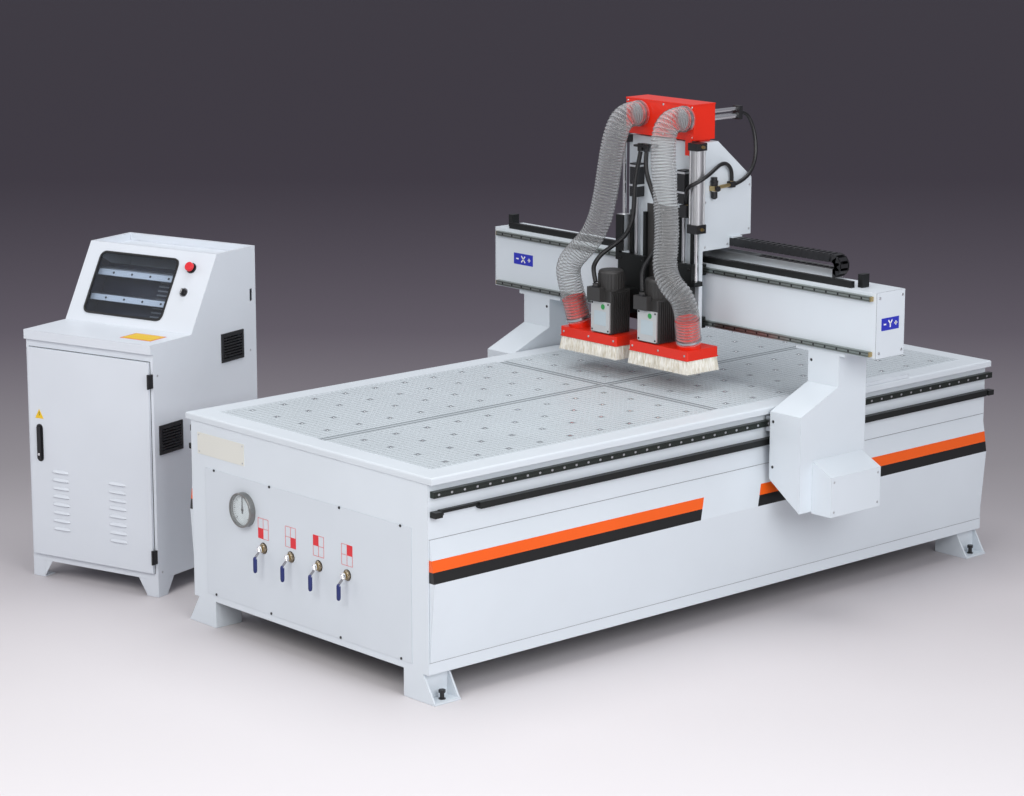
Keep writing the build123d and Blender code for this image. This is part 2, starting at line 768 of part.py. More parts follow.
publish(rear_housing, "rear_housing")

x_pinion_y = x_rack_back + x_pinion_radius + 0.5
with BuildPart() as carriage_motors:
    block(-motor_square / 2, motor_square / 2, x_pinion_y - motor_square / 2,
          x_pinion_y + motor_square / 2, housing_low + 3, housing_low + 165)
    round_bar((0, x_pinion_y, housing_low + 2), "z", x_shaft_radius + shaft_clearance, 41,
              mode=Mode.SUBTRACT)
    for side in (-1, 1):
        middle = side * head_spread
        half = z_motor_square / 2
        block(middle - half, middle + half, saddle_front - z_motor_square, saddle_front,
              z_screw_high + 1, z_screw_high + z_motor_height)
        block(middle - half, middle + half, saddle_front - z_motor_square, saddle_front,
              z_screw_high - 40, z_screw_high + 1)
        round_bar((middle, screw_y, z_screw_high - 41), "z", z_screw_radius + shaft_clearance, 41.5,
                  mode=Mode.SUBTRACT)
    # bracket with the two cable glands
    block(-118, -36, 266, saddle_front, 1752, 1760)
    for gland_x in (-94, -60):
        round_bar((gland_x, 283, 1735), "z", gland_radius, 30)
publish(carriage_motors, "carriage_motors")

with BuildPart() as x_pinion:
    with BuildSketch(Plane(origin=(0, x_pinion_y, beam_high + 1), x_dir=(1, 0, 0), z_dir=(0, 0, 1))):
        Polygon(*gear_outline(x_pinion_radius, 18, 5), align=None)
    extrude(amount=x_rack_height - 2)
    round_bar((0, x_pinion_y, beam_high + x_rack_height - 2), "z", x_shaft_radius,
              housing_low + 40 - beam_high - x_rack_height)
publish(x_pinion, "x_pinion")

for number, side in ((1, -1), (2, 1)):
    with BuildPart() as z_screw:
        round_bar((side * head_spread, screw_y, z_screw_low), "z", z_screw_radius,
                  z_screw_high - z_screw_low)
    publish(z_screw, f"z_screw_{number}")

# ---------------------------------------------------------------- heads
spindle_centres = {1: -head_spread, 2: head_spread}
port_direction = Vector(port_lean_x, port_lean_y, 1).normalized()


def rounded_column(x0, x1, y0, y1, z0, z1, radius):
    """An upright box with rounded vertical edges."""
    with BuildSketch(Plane.XY.offset(z0)) as outline:
        with Locations(((x0 + x1) / 2, (y0 + y1) / 2)):
            RectangleRounded(x1 - x0, y1 - y0, radius)
    extrude(outline.sketch, amount=z1 - z0)


for number, middle in spindle_centres.items():
    side = 1 if middle > 0 else -1
    with BuildPart() as head_plate:
        block(middle - head_plate_half, middle + head_plate_half, head_plate_front, head_plate_back,
              head_plate_low, head_plate_high)
        for spread in (-z_rail_spread, z_rail_spread):
            for block_z in (head_plate_low + 30, head_plate_high - 20 - z_block_length):
                centre = middle + spread
                block(centre - z_block_width / 2, centre + z_block_width / 2, head_plate_back,
                      saddle_front - 3, block_z, block_z + z_block_length)
                block(centre - z_rail_width / 2 - block_clearance,
                      centre + z_rail_width / 2 + block_clearance,
                      saddle_front - z_rail_depth - block_clearance, saddle_front,
                      block_z - 1, block_z + z_block_length + 1, mode=Mode.SUBTRACT)
        # screw nut
        block(middle - 16, middle + 16, head_plate_back, 318, 1160, 1200)
        round_bar((middle, screw_y, 1159), "z", z_screw_radius + shaft_clearance, 42,
                  mode=Mode.SUBTRACT)
        # bracket that carries the spindle
        block(middle - 45, middle + 45, spindle_back, head_plate_front, 1080, 1176)
        if number == 2:
            # ear that holds the foot of the balance rod
            block(middle + head_plate_half - 5, cylinder_x + 18, head_plate_front, 318,
                  balance_rod_low - 18, balance_rod_low)
        else:
            # guide bush on the left-hand column
            block(guide_x - bush_half, guide_x + bush_half, head_plate_front, guide_y + bush_half,
                  bush_low, bush_high)
            block(guide_x - bush_half, middle - head_plate_half + 6, head_plate_front,
                  head_plate_back, head_plate_high - 30, bush_low + 12)
            round_bar((guide_x, guide_y, bush_low - 1), "z", guide_radius + shaft_clearance,
                      bush_high - bush_low + 2, mode=Mode.SUBTRACT)
    publish(head_plate, f"head_plate_{number}")

    with BuildPart() as spindle_body:
        rounded_column(middle - spindle_half, middle + spindle_half, spindle_front, spindle_back,
                       spindle_low, spindle_high, 6)
        round_bar((middle, spindle_y, spindle_high), "z", cap_radius, cap_height)
        fillet(spindle_body.faces().sort_by(Axis.Z)[-1].edges(), 12)
        left = middle - spindle_half
        block(left, left + connector_width, spindle_front - connector_depth, spindle_front,
              1195 - connector_height, 1195)
        round_bar((left + connector_width / 2, spindle_front - connector_depth / 2, 1195), "z",
                  gland_radius, gland_height)
        round_bar((middle, spindle_y, spindle_low - 1), "z", rotor_radius + rotor_clearance, 40,
                  mode=Mode.SUBTRACT)
    publish(spindle_body, f"spindle_body_{number}")

    with BuildPart() as spindle_rotor:
        round_bar((middle, spindle_y, rotor_low + 24), "z", rotor_radius, spindle_low + 36 - rotor_low - 24)
        with BuildSketch(Plane.XY.offset(rotor_low)):
            with Locations((middle, spindle_y)):
                RegularPolygon(nut_radius, 12)
        extrude(amount=26)
        round_bar((middle, spindle_y, rotor_low), "z", collet_radius, collet_depth, mode=Mode.SUBTRACT)
    publish(spindle_rotor, f"spindle_rotor_{number}")

    with BuildPart() as dust_hood:
        x0, x1 = sorted((side * hood_inner_x, side * hood_outer_x))
        rounded_column(x0, x1, hood_front, hood_rear, hood_low, hood_high, 5)
        round_bar((middle, spindle_y, hood_high), "z", nose_ring_radius, spindle_low - hood_high)
        base = (side * port_x, port_y, hood_high - 6)
        lean = Vector(side * port_lean_x, port_lean_y, 1)
        with BuildSketch(Plane(origin=base, z_dir=lean)):
            Circle(port_radius)
        extrude(amount=port_length + 6)
        block(x0 + hood_wall, x1 - hood_wall, hood_front + hood_wall, hood_rear - hood_wall,
              hood_low - 1, hood_high - hood_wall, mode=Mode.SUBTRACT)
        round_bar((middle, spindle_y, hood_low), "z", nose_hole_radius, 60, mode=Mode.SUBTRACT)
        with BuildSketch(Plane(origin=base, z_dir=lean)):
            Circle(port_radius - port_wall)
        extrude(amount=port_length + 8, mode=Mode.SUBTRACT)
        with BuildSketch(Plane(origin=base, z_dir=lean)):
            Circle(port_radius - port_wall)
        extrude(amount=-8, mode=Mode.SUBTRACT)
    publish(dust_hood, f"dust_hood_{number}")

    with BuildPart() as brush_skirt:
        centre = ((x0 + x1) / 2, (hood_front + hood_rear) / 2)
        width = x1 - x0
        depth = hood_rear - hood_front
        with BuildSketch(Plane.XY.offset(hood_low)):
            with Locations(centre):
                Rectangle(width - 4, depth - 4)
        with BuildSketch(Plane.XY.offset(brush_low)):
            with Locations(centre):
                Rectangle(width + 2 * brush_flare, depth + 2 * brush_flare)
        loft()
        inner_w = width - 4 - 2 * brush_thickness
        inner_d = depth - 4 - 2 * brush_thickness
        block(centre[0] - inner_w / 2, centre[0] + inner_w / 2, centre[1] - inner_d / 2,
              centre[1] + inner_d / 2, brush_low - 1, hood_low + 1, mode=Mode.SUBTRACT)
    publish(brush_skirt, f"brush_skirt_{number}")

# ---------------------------------------------------------------- extraction manifold
with BuildPart() as dust_manifold:
    rear = manifold_front + manifold_depth
    half = manifold_half_width
    block(-half, half, manifold_front, rear, manifold_low, manifold_high)
    for port in (manifold_port_left, manifold_port_right):
        round_bar((port, manifold_port_front, manifold_port_z), "y", port_radius,
                  manifold_front - manifold_port_front)
    round_bar((outlet_x, rear, outlet_z), "y", outlet_radius, outlet_length)
    m = manifold_wall
    block(-half + m, half - m, manifold_front + m, rear - m, manifold_low + m, manifold_high - m,
          mode=Mode.SUBTRACT)
    for port in (manifold_port_left, manifold_port_right):
        round_bar((port, manifold_port_front - 1, manifold_port_z), "y", port_radius - port_wall,
                  manifold_front - manifold_port_front + 5, mode=Mode.SUBTRACT)
    round_bar((outlet_x, rear - 5, outlet_z), "y", outlet_radius - port_wall, outlet_length + 6,
              mode=Mode.SUBTRACT)
    # two feet on the housing and the tab on the cylinder's cap
    for side in (-1, 1):
        block(side * 140, side * 170, saddle_back + 5, rear - 5, saddle_high, manifold_low)
    tab_right = cylinder_x - cylinder_cap_half - 1
    block(tab_right - 34, tab_right, manifold_front - 4, manifold_front, manifold_low - 60,
          manifold_low + 20)
publish(dust_manifold, "dust_manifold")

with BuildPart() as balance_cylinder:
    round_bar((cylinder_x, cylinder_y, cylinder_low), "z", cylinder_radius, cylinder_high - cylinder_low)
    round_bar((cylinder_x, cylinder_y, cylinder_low), "z", cylinder_bore, cylinder_high - cylinder_low,
              mode=Mode.SUBTRACT)
    for cap_low, cap_high in ((cylinder_low - cylinder_cap_low, cylinder_low),
                              (cylinder_high, cylinder_high + cylinder_cap_high)):
        block(cylinder_x - cylinder_cap_half, cylinder_x + cylinder_cap_half,
              cylinder_y - cylinder_cap_half, saddle_front, cap_low, cap_high)
    round_bar((cylinder_x, cylinder_y, cylinder_low - cylinder_cap_low - 1), "z",
              balance_rod_radius + shaft_clearance, cylinder_cap_low + 2, mode=Mode.SUBTRACT)
    round_bar((guide_x, guide_y, guide_low), "z", guide_radius, saddle_high - guide_low)
    block(guide_x - bush_half, guide_x + bush_half, guide_y - 20, saddle_front,
          saddle_high - 30, saddle_high)
publish(balance_cylinder, "balance_cylinder")

with BuildPart() as balance_rod:
    round_bar((cylinder_x, cylinder_y, balance_rod_low), "z", balance_rod_radius,
              balance_rod_high - balance_rod_low)
    round_bar((cylinder_x, cylinder_y, balance_rod_high - 20), "z", cylinder_bore - 0.3, 20)
publish(balance_rod, "balance_rod")

with BuildPart() as air_fittings:
    rear = manifold_front + manifold_depth
    round_bar((170, rear, 1880), "y", 11, 140)
    round_bar((170, rear, 1906), "y", 8, 140)
    block(152, 188, rear + 140, rear + 160, 1864, 1918)
    # regulator and elbow on the housing's side
    block(saddle_half_width, saddle_half_width + 26, 372, 412, 1588, 1622)
    round_bar((saddle_half_width + 14, 392, 1570), "z", 12, 74)
    block(saddle_half_width, saddle_half_width + 26, 478, 506, 1598, 1626)
    # valve block in front of the saddle
    block(146, 180, 265, saddle_front, 1495, 1544)
publish(air_fittings, "air_fittings")

# ---------------------------------------------------------------- hoses, cables and tubes
hose_route_1 = [
    (-105, 260.5, 1885), (-106, 222, 1885), (-108, 187, 1865), (-112, 168, 1830), (-128, 160, 1760),
    (-146, 158, 1660), (-160, 152, 1560), (-178, 142, 1465), (-212, 126, 1385), (-268, 108, 1325),
    (-322, 100, 1268), (-334, 115.5, 1203),
]
hose_route_2 = [
    (150, 260.5, 1885), (150, 222, 1885), (150, 187, 1865), (151, 168, 1830), (156, 160, 1755),
    (168, 158, 1660), (182, 152, 1565), (205, 138, 1480), (222, 118, 1400), (233, 98, 1325),
    (270, 88, 1265), (334, 115.5, 1203),
]
cable_route_1 = [
    (-94, 283, 1732.6), (-95, 276, 1700), (-99, 265, 1650), (-101, 257, 1590), (-97, 252, 1520),
    (-100, 246, 1450), (-122, 230, 1392), (-160, 200, 1352), (-190, 160, 1318), (-196, 124, 1278),
    (-171, 99, 1254), (-153, 94, 1214.5),
]
cable_route_2 = [
    (-60, 283, 1732.6), (-58, 276, 1700), (-44, 268, 1650), (-10, 259, 1600), (28, 252, 1545),
    (54, 248, 1480), (64, 240, 1410), (64, 212, 1356), (76, 164, 1324), (96, 114, 1296),
    (113, 93, 1252), (116, 94, 1211),
]
tube_route_1 = [
    (170, 575.6, 1890), (171, 602, 1888), (176, 626, 1868), (186, 640, 1826), (198, 644, 1768),
    (210, 632, 1708), (217, 600, 1656), (218, 556, 1624), (216, 508.5, 1612),
]
tube_route_2 = [
    (213, 492, 1626.8), (214, 492, 1652), (217, 480, 1680), (224, 448, 1702), (236, 404, 1704),
    (250, 356, 1688), (252, 310, 1664), (240, 266, 1642), (208, 252, 1624), (178, 268, 1596),
    (166, 287, 1548.5),
]
port_end = port_direction * (port_length + 0.5)
hood_mouth_1 = (-port_x - port_end.X, port_y + port_end.Y, hood_high + port_end.Z)
hood_mouth_2 = (port_x + port_end.X, port_y + port_end.Y, hood_high + port_end.Z)
print("hood mouths", hood_mouth_1, hood_mouth_2)
cord(hose_route_1 + [hood_mouth_1], hose_diameter, "dust_hose_1")
cord(hose_route_2 + [hood_mouth_2], hose_diameter, "dust_hose_2")
cord(cable_route_1, cable_diameter, "spindle_cable_1")
cord(cable_route_2, cable_diameter, "spindle_cable_2")
cord(tube_route_1, tube_diameter, "air_tube_1")
cord(tube_route_2, tube_diameter, "air_tube_2")

# ---------------------------------------------------------------- control cabinet
wall = cabinet_wall
shell_front = door_thickness + door_gap
door_left = -cabinet_width + door_side_border
door_right = -door_side_border
door_hinge_x = door_right + 1
door_hinge_y = -2.0
slope_up = Vector(0, slope_high_y - slope_low_y, cabinet_high - desk_z).normalized()
slope_out = Vector(0, -slope_up.Z, slope_up.Y)


def slope_plane(x, from_top):
    """A plane on the console's slope: local X across, local Y up it, Z out of it."""
    origin = Vector(x, slope_high_y, cabinet_high) - slope_up * from_top
    return Plane(origin=origin, x_dir=(1, 0, 0), z_dir=slope_out)


with BuildPart() as cabinet_shell:
    outline = [(shell_front, cabinet_low), (shell_front, desk_z - desk_lip), (0, desk_z - desk_lip),
               (0, desk_z), (slope_low_y, desk_z), (slope_high_y, cabinet_high),
               (cabinet_depth, cabinet_high), (cabinet_depth, cabinet_low)]
    prism_along_x(outline, -cabinet_width, 0)
    inner_top = tray_floor_z - 2 * wall
    lean = (slope_high_y - slope_low_y) / (cabinet_high - desk_z)
    inner_slope_low = slope_low_y + wall / sin(radians(slope_tilt)) + wall * lean
    inner_slope_high = inner_slope_low + lean * (inner_top - desk_z + wall)
    room = [(shell_front + wall, cabinet_low + wall), (shell_front + wall, desk_z - wall),
            (inner_slope_low, desk_z - wall), (inner_slope_high, inner_top),
            (cabinet_depth - wall, inner_top), (cabinet_depth - wall, cabinet_low + wall)]
    prism_along_x(room, -cabinet_width + wall, -wall, mode=Mode.SUBTRACT)
    # door opening, tray in the top, window, vents
    block(door_left + door_lip, door_right - door_lip, -1, shell_front + wall + 1,
          door_low + door_lip, door_high - door_lip, mode=Mode.SUBTRACT)
    block(-cabinet_width + tray_border, -tray_border, slope_high_y + tray_border,
          cabinet_depth - tray_border, tray_floor_z, cabinet_high + 1, mode=Mode.SUBTRACT)
    with BuildSketch(slope_plane(window_centre_x, window_from_top)):
        RectangleRounded(window_width, window_height, window_radius)
    extrude(amount=-3 * wall, mode=Mode.SUBTRACT)
    for from_top in (stop_from_top, switch_from_top):
        with BuildSketch(slope_plane(control_x, from_top)):
            Circle(6.3)
        extrude(amount=-3 * wall, mode=Mode.SUBTRACT)
    for vent_y, vent_z in vent_places:
        block(-wall - 1, 1, vent_y - vent_width / 2 + 10, vent_y + vent_width / 2 - 10,
              vent_z - vent_height / 2 + 10, vent_z + vent_height / 2 - 10, mode=Mode.SUBTRACT)
    block(-wall - 1, 1, 652, 668, 1104, 1154, mode=Mode.SUBTRACT)
    # four folded corner feet
    for foot_x, sx in ((-cabinet_width, 1), (0, -1)):
        for foot_y, sy in ((shell_front, 1), (cabinet_depth, -1)):
            block(foot_x, foot_x + sx * cabinet_foot, foot_y, foot_y + sy * wall, 0, cabinet_low)
            block(foot_x, foot_x + sx * wall, foot_y, foot_y + sy * cabinet_foot, 0, cabinet_low)
            block(foot_x, foot_x + sx * cabinet_foot, foot_y, foot_y + sy * cabinet_foot, 0, wall)
publish(cabinet_shell, "cabinet_shell", cabinet_place)

with BuildPart() as cabinet_door:
    block(door_left, door_right, 0, door_thickness, door_low, door_high)
    fillet(cabinet_door.faces().sort_by(Axis.Y)[0].edges(), 2)
    block(door_left + 2, door_right - 2, 2, door_thickness + 1, door_low + 2, door_high - 2,
          mode=Mode.SUBTRACT)
    # hinge pins on lugs at the door's edge
    for hinge_z in hinge_places:
        block(door_right - 2.5, door_hinge_x, door_hinge_y, 2, hinge_z + 1, hinge_z + hinge_height - 1)
        round_bar((door_hinge_x, door_hinge_y, hinge_z + 1), "z", hinge_pin_radius, hinge_height - 2)
publish(cabinet_door, "cabinet_door", cabinet_place)

handle_x = -580.0
handle_low = 500.0
handle_high = 634.0
with BuildPart() as door_handle:
    block(handle_x - 9, handle_x + 9, -11, -3, handle_low, handle_high)
    fillet(door_handle.edges().filter_by(Axis.X), 3)
    block(handle_x - 6, handle_x + 6, -4, -0.3, handle_high - 26, handle_high - 12)
publish(door_handle, "door_handle", cabinet_place)

with BuildPart() as cabinet_trim:
    # two vent grilles with bars
    for vent_y, vent_z in vent_places:
        half = vent_width / 2
        rise = vent_height / 2
        block(0, 6, vent_y - half, vent_y + half, vent_z - rise, vent_z + rise)
        bar_pitch = (vent_height - 24) / 8
        for n in range(8):
            low = vent_z - rise + 14 + n * bar_pitch
            block(-1, 7, vent_y - half + 12, vent_y + half - 12, low, low + bar_pitch * 0.5,
                  mode=Mode.SUBTRACT)
    # hinge bodies beside the door, bored for its pins
    for hinge_z in hinge_places:
        block(door_right + 2, -1, -9, shell_front, hinge_z, hinge_z + hinge_height)
        round_bar((door_hinge_x, door_hinge_y, hinge_z - 1), "z", hinge_pin_radius + hinge_clearance,
                  hinge_height + 2, mode=Mode.SUBTRACT)
with BuildPart() as console_window:
    with BuildSketch(slope_plane(window_centre_x, window_from_top)):
        RectangleRounded(window_width - 1, window_height - 1, window_radius)
    extrude(amount=-window_thickness)
publish(console_window, "console_window", cabinet_place)

with BuildPart() as electronics_rack:
    block(-cabinet_width + 40, -40, cabinet_depth - 60, cabinet_depth - 56, 150, 960)
    for n in range(4):
        left = -cabinet_width + 70 + n * 130
        block(left, left + 90, cabinet_depth - 200, cabinet_depth - 60, 640, 860)
    block(-cabinet_width + 70, -100, cabinet_depth - 210, cabinet_depth - 60, 240, 480)
    for bar_z in (1110, 1210):
        bar_y = slope_low_y + (bar_z - desk_z) * lean + 60
        block(-cabinet_width + wall, -wall, bar_y, bar_y + 26, bar_z - 13, bar_z + 13)
    for bar_x in (-cabinet_width + wall, -wall - 20):
        block(bar_x, bar_x + 20, cabinet_depth - 60, cabinet_depth - wall, 600, 640)
publish(electronics_rack, "electronics_rack", cabinet_place)

with cabinet_trim:
    with BuildSketch(slope_plane(control_x, stop_from_top)):
        Circle(22)
    extrude(amount=6)
    with BuildSketch(slope_plane(control_x, switch_from_top)):
        Circle(15)
    extrude(amount=5)
    for from_top in (stop_from_top, switch_from_top):
        with BuildSketch(slope_plane(control_x, from_top)):
            Circle(6.3)
        extrude(amount=20, mode=Mode.SUBTRACT)
publish(cabinet_trim, "cabinet_trim", cabinet_place)

with BuildPart() as stop_button:
    with BuildSketch(slope_plane(control_x, stop_from_top).offset(0.5)):
        Circle(6.2)
    extrude(amount=14)
    with BuildSketch(slope_plane(control_x, stop_from_top).offset(14)):
        Circle(19)
    extrude(amount=13)
    fillet(stop_button.faces().sort_by(Axis(origin=(0, 0, 0), direction=slope_out))[-1].edges(), 5)
publish(stop_button, "stop_button", cabinet_place)

with BuildPart() as switch_knob:
    with BuildSketch(slope_plane(control_x, switch_from_top).offset(0.5)):
        Circle(6.2)
    extrude(amount=6)
    with BuildSketch(slope_plane(control_x, switch_from_top).offset(5.5)):
        Circle(12)
    extrude(amount=7)
    with BuildSketch(slope_plane(control_x, switch_from_top).offset(12)):
        RectangleRounded(8, 23, 3)
    extrude(amount=9)
publish(switch_knob, "switch_knob", cabinet_place)
print("origin", origin_x, origin_y)
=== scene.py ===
import logging
import math
from dataclasses import dataclass
from enum import Enum

import bpy
import numpy as np
from mathutils import Matrix, Vector


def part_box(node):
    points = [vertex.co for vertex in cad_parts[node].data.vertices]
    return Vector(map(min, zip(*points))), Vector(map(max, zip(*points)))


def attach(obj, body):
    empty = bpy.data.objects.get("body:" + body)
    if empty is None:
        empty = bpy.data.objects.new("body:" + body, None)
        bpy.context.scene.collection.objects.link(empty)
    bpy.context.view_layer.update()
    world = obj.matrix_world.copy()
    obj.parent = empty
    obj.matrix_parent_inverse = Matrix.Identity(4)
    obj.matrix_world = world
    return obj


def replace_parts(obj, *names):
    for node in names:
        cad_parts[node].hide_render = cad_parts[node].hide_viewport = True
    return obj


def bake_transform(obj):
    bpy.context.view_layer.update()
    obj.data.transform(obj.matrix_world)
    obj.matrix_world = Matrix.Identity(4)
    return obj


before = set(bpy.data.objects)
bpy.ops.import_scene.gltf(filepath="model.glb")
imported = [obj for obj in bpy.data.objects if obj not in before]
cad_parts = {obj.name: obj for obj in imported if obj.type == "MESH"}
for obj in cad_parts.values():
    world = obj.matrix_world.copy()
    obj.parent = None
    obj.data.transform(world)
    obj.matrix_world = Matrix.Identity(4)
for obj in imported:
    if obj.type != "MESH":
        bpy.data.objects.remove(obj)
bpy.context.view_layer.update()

LOG = logging.getLogger("router")
TABLE_LOW, TABLE_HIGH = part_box("tabletop")
BED_CENTRE = Vector(((TABLE_LOW.x + TABLE_HIGH.x) / 2, (TABLE_LOW.y + TABLE_HIGH.y) / 2, 0))
CABINET_TURN = math.radians(16.12)
CABINET = Matrix.Translation((-1.051, -1.457, 0)) @ Matrix.Rotation(CABINET_TURN, 4, "Z")
SLOPE_UP = Vector((0, 0.177, 0.3005)).normalized()
SLOPE_OUT = Vector((0, -SLOPE_UP.z, SLOPE_UP.y))
SLOPE = CABINET @ Matrix.Translation((0, 0.438, 1.328)) @ Matrix(
    ((1, 0, 0), (0, SLOPE_UP.y, SLOPE_OUT.y), (0, SLOPE_UP.z, SLOPE_OUT.z))
).to_4x4()


@dataclass(frozen=True)
class Finish:
    """How one kind of surface looks.

    Attributes:
        colour: base colour, linear.
        roughness: microsurface roughness.
        metallic: 1 for bare metal.
        bump: strength of the fine grain.
        grain: size of the grain, in noise cells per metre.
        coat: clear coat weight.
        round_edge: radius of the shaded edge rounding, in metres.
    """

    colour: tuple[float, float, float]
    roughness: float = 0.4
    metallic: float = 0.0
    bump: float = 0.04
    grain: float = 500.0
    coat: float = 0.0
    round_edge: float = 0.0


class Look(Enum):
    """The plain finishes of the machine."""

    WHITE = Finish((0.685, 0.74, 0.785), 0.34, bump=0.03, grain=700, coat=0.2, round_edge=0.0025)
    PANEL = Finish((0.645, 0.695, 0.74), 0.40, bump=0.04, grain=700, coat=0.1, round_edge=0.0015)
    TABLE = Finish((0.66, 0.71, 0.75), 0.45, bump=0.05, grain=400, round_edge=0.002)
    # Pad tops: the board's own tone, made lighter than the deck partly as painted light.
    PAD = Finish((0.54, 0.59, 0.62), 0.36, bump=0.03, grain=300)
    # Deck between the pads: the board's own tone, made darker partly as painted shade in the grooves.
    DECK_TONE_AND_SHADE = Finish((0.24, 0.27, 0.29), 0.6, bump=0.03, grain=300)
    CABINET = Finish((0.68, 0.72, 0.77), 0.42, bump=0.12, grain=900, round_edge=0.002)
    RED = Finish((0.78, 0.020, 0.003), 0.36, bump=0.03, grain=600, coat=0.1, round_edge=0.0012)
    STEEL = Finish((0.56, 0.57, 0.59), 0.3, 1.0, bump=0.04, grain=300, round_edge=0.0006)
    RAIL = Finish((0.045, 0.055, 0.048), 0.34, 0.85, bump=0.03, grain=300)
    X_RAIL = Finish((0.30, 0.33, 0.31), 0.32, 0.95, bump=0.03, grain=300)
    DARK_STEEL = Finish((0.026, 0.028, 0.028), 0.42, 0.7, bump=0.05, grain=300)
    CHROME = Finish((0.88, 0.89, 0.90), 0.14, 1.0, bump=0.0)
    ALUMINIUM = Finish((0.74, 0.75, 0.76), 0.30, 0.9, bump=0.04, grain=500, round_edge=0.0006)
    BRASS = Finish((0.52, 0.40, 0.20), 0.34, 1.0, bump=0.03, grain=400)
    BRONZE = Finish((0.30, 0.25, 0.18), 0.30, 1.0, bump=0.03, grain=400)
    BLACK = Finish((0.012, 0.012, 0.014), 0.42, bump=0.05, grain=900, round_edge=0.0008)
    GREY = Finish((0.040, 0.038, 0.037), 0.42, bump=0.06, grain=600, round_edge=0.001)
    # Near-black navy that stands for the shade inside the console: painted shade.
    CONSOLE_SHADE = Finish((0.010, 0.012, 0.028), 0.3, bump=0.0)
    SEAM = Finish((0.22, 0.23, 0.25), 0.5, bump=0.0)
    PLATE = Finish((0.58, 0.59, 0.59), 0.36, 0.25, bump=0.03, grain=400)
    RUBBER = Finish((0.007, 0.007, 0.008), 0.34, bump=0.02, grain=900)
    BLUE = Finish((0.012, 0.022, 0.13), 0.3, bump=0.02, grain=300)
    LABEL_WHITE = Finish((0.86, 0.86, 0.85), 0.35, bump=0.0)
    IVORY = Finish((0.72, 0.72, 0.66), 0.35, bump=0.0)
    LABEL_RED = Finish((0.70, 0.02, 0.03), 0.35, bump=0.0)
    LABEL_BLUE = Finish((0.02, 0.03, 0.45), 0.35, bump=0.0)
    YELLOW = Finish((0.85, 0.55, 0.02), 0.35, bump=0.0)
    GREEN = Finish((0.03, 0.30, 0.07), 0.35, bump=0.0)
    STICKER = Finish((0.50, 0.58, 0.62), 0.4, bump=0.0)
    WIRE = Finish((0.24, 0.235, 0.23), 0.28, 0.9, bump=0.0)
    DIAL = Finish((0.74, 0.79, 0.80), 0.4, bump=0.0)
    BEZEL = Finish((0.30, 0.30, 0.29), 0.28, 1.0, bump=0.03, grain=300)


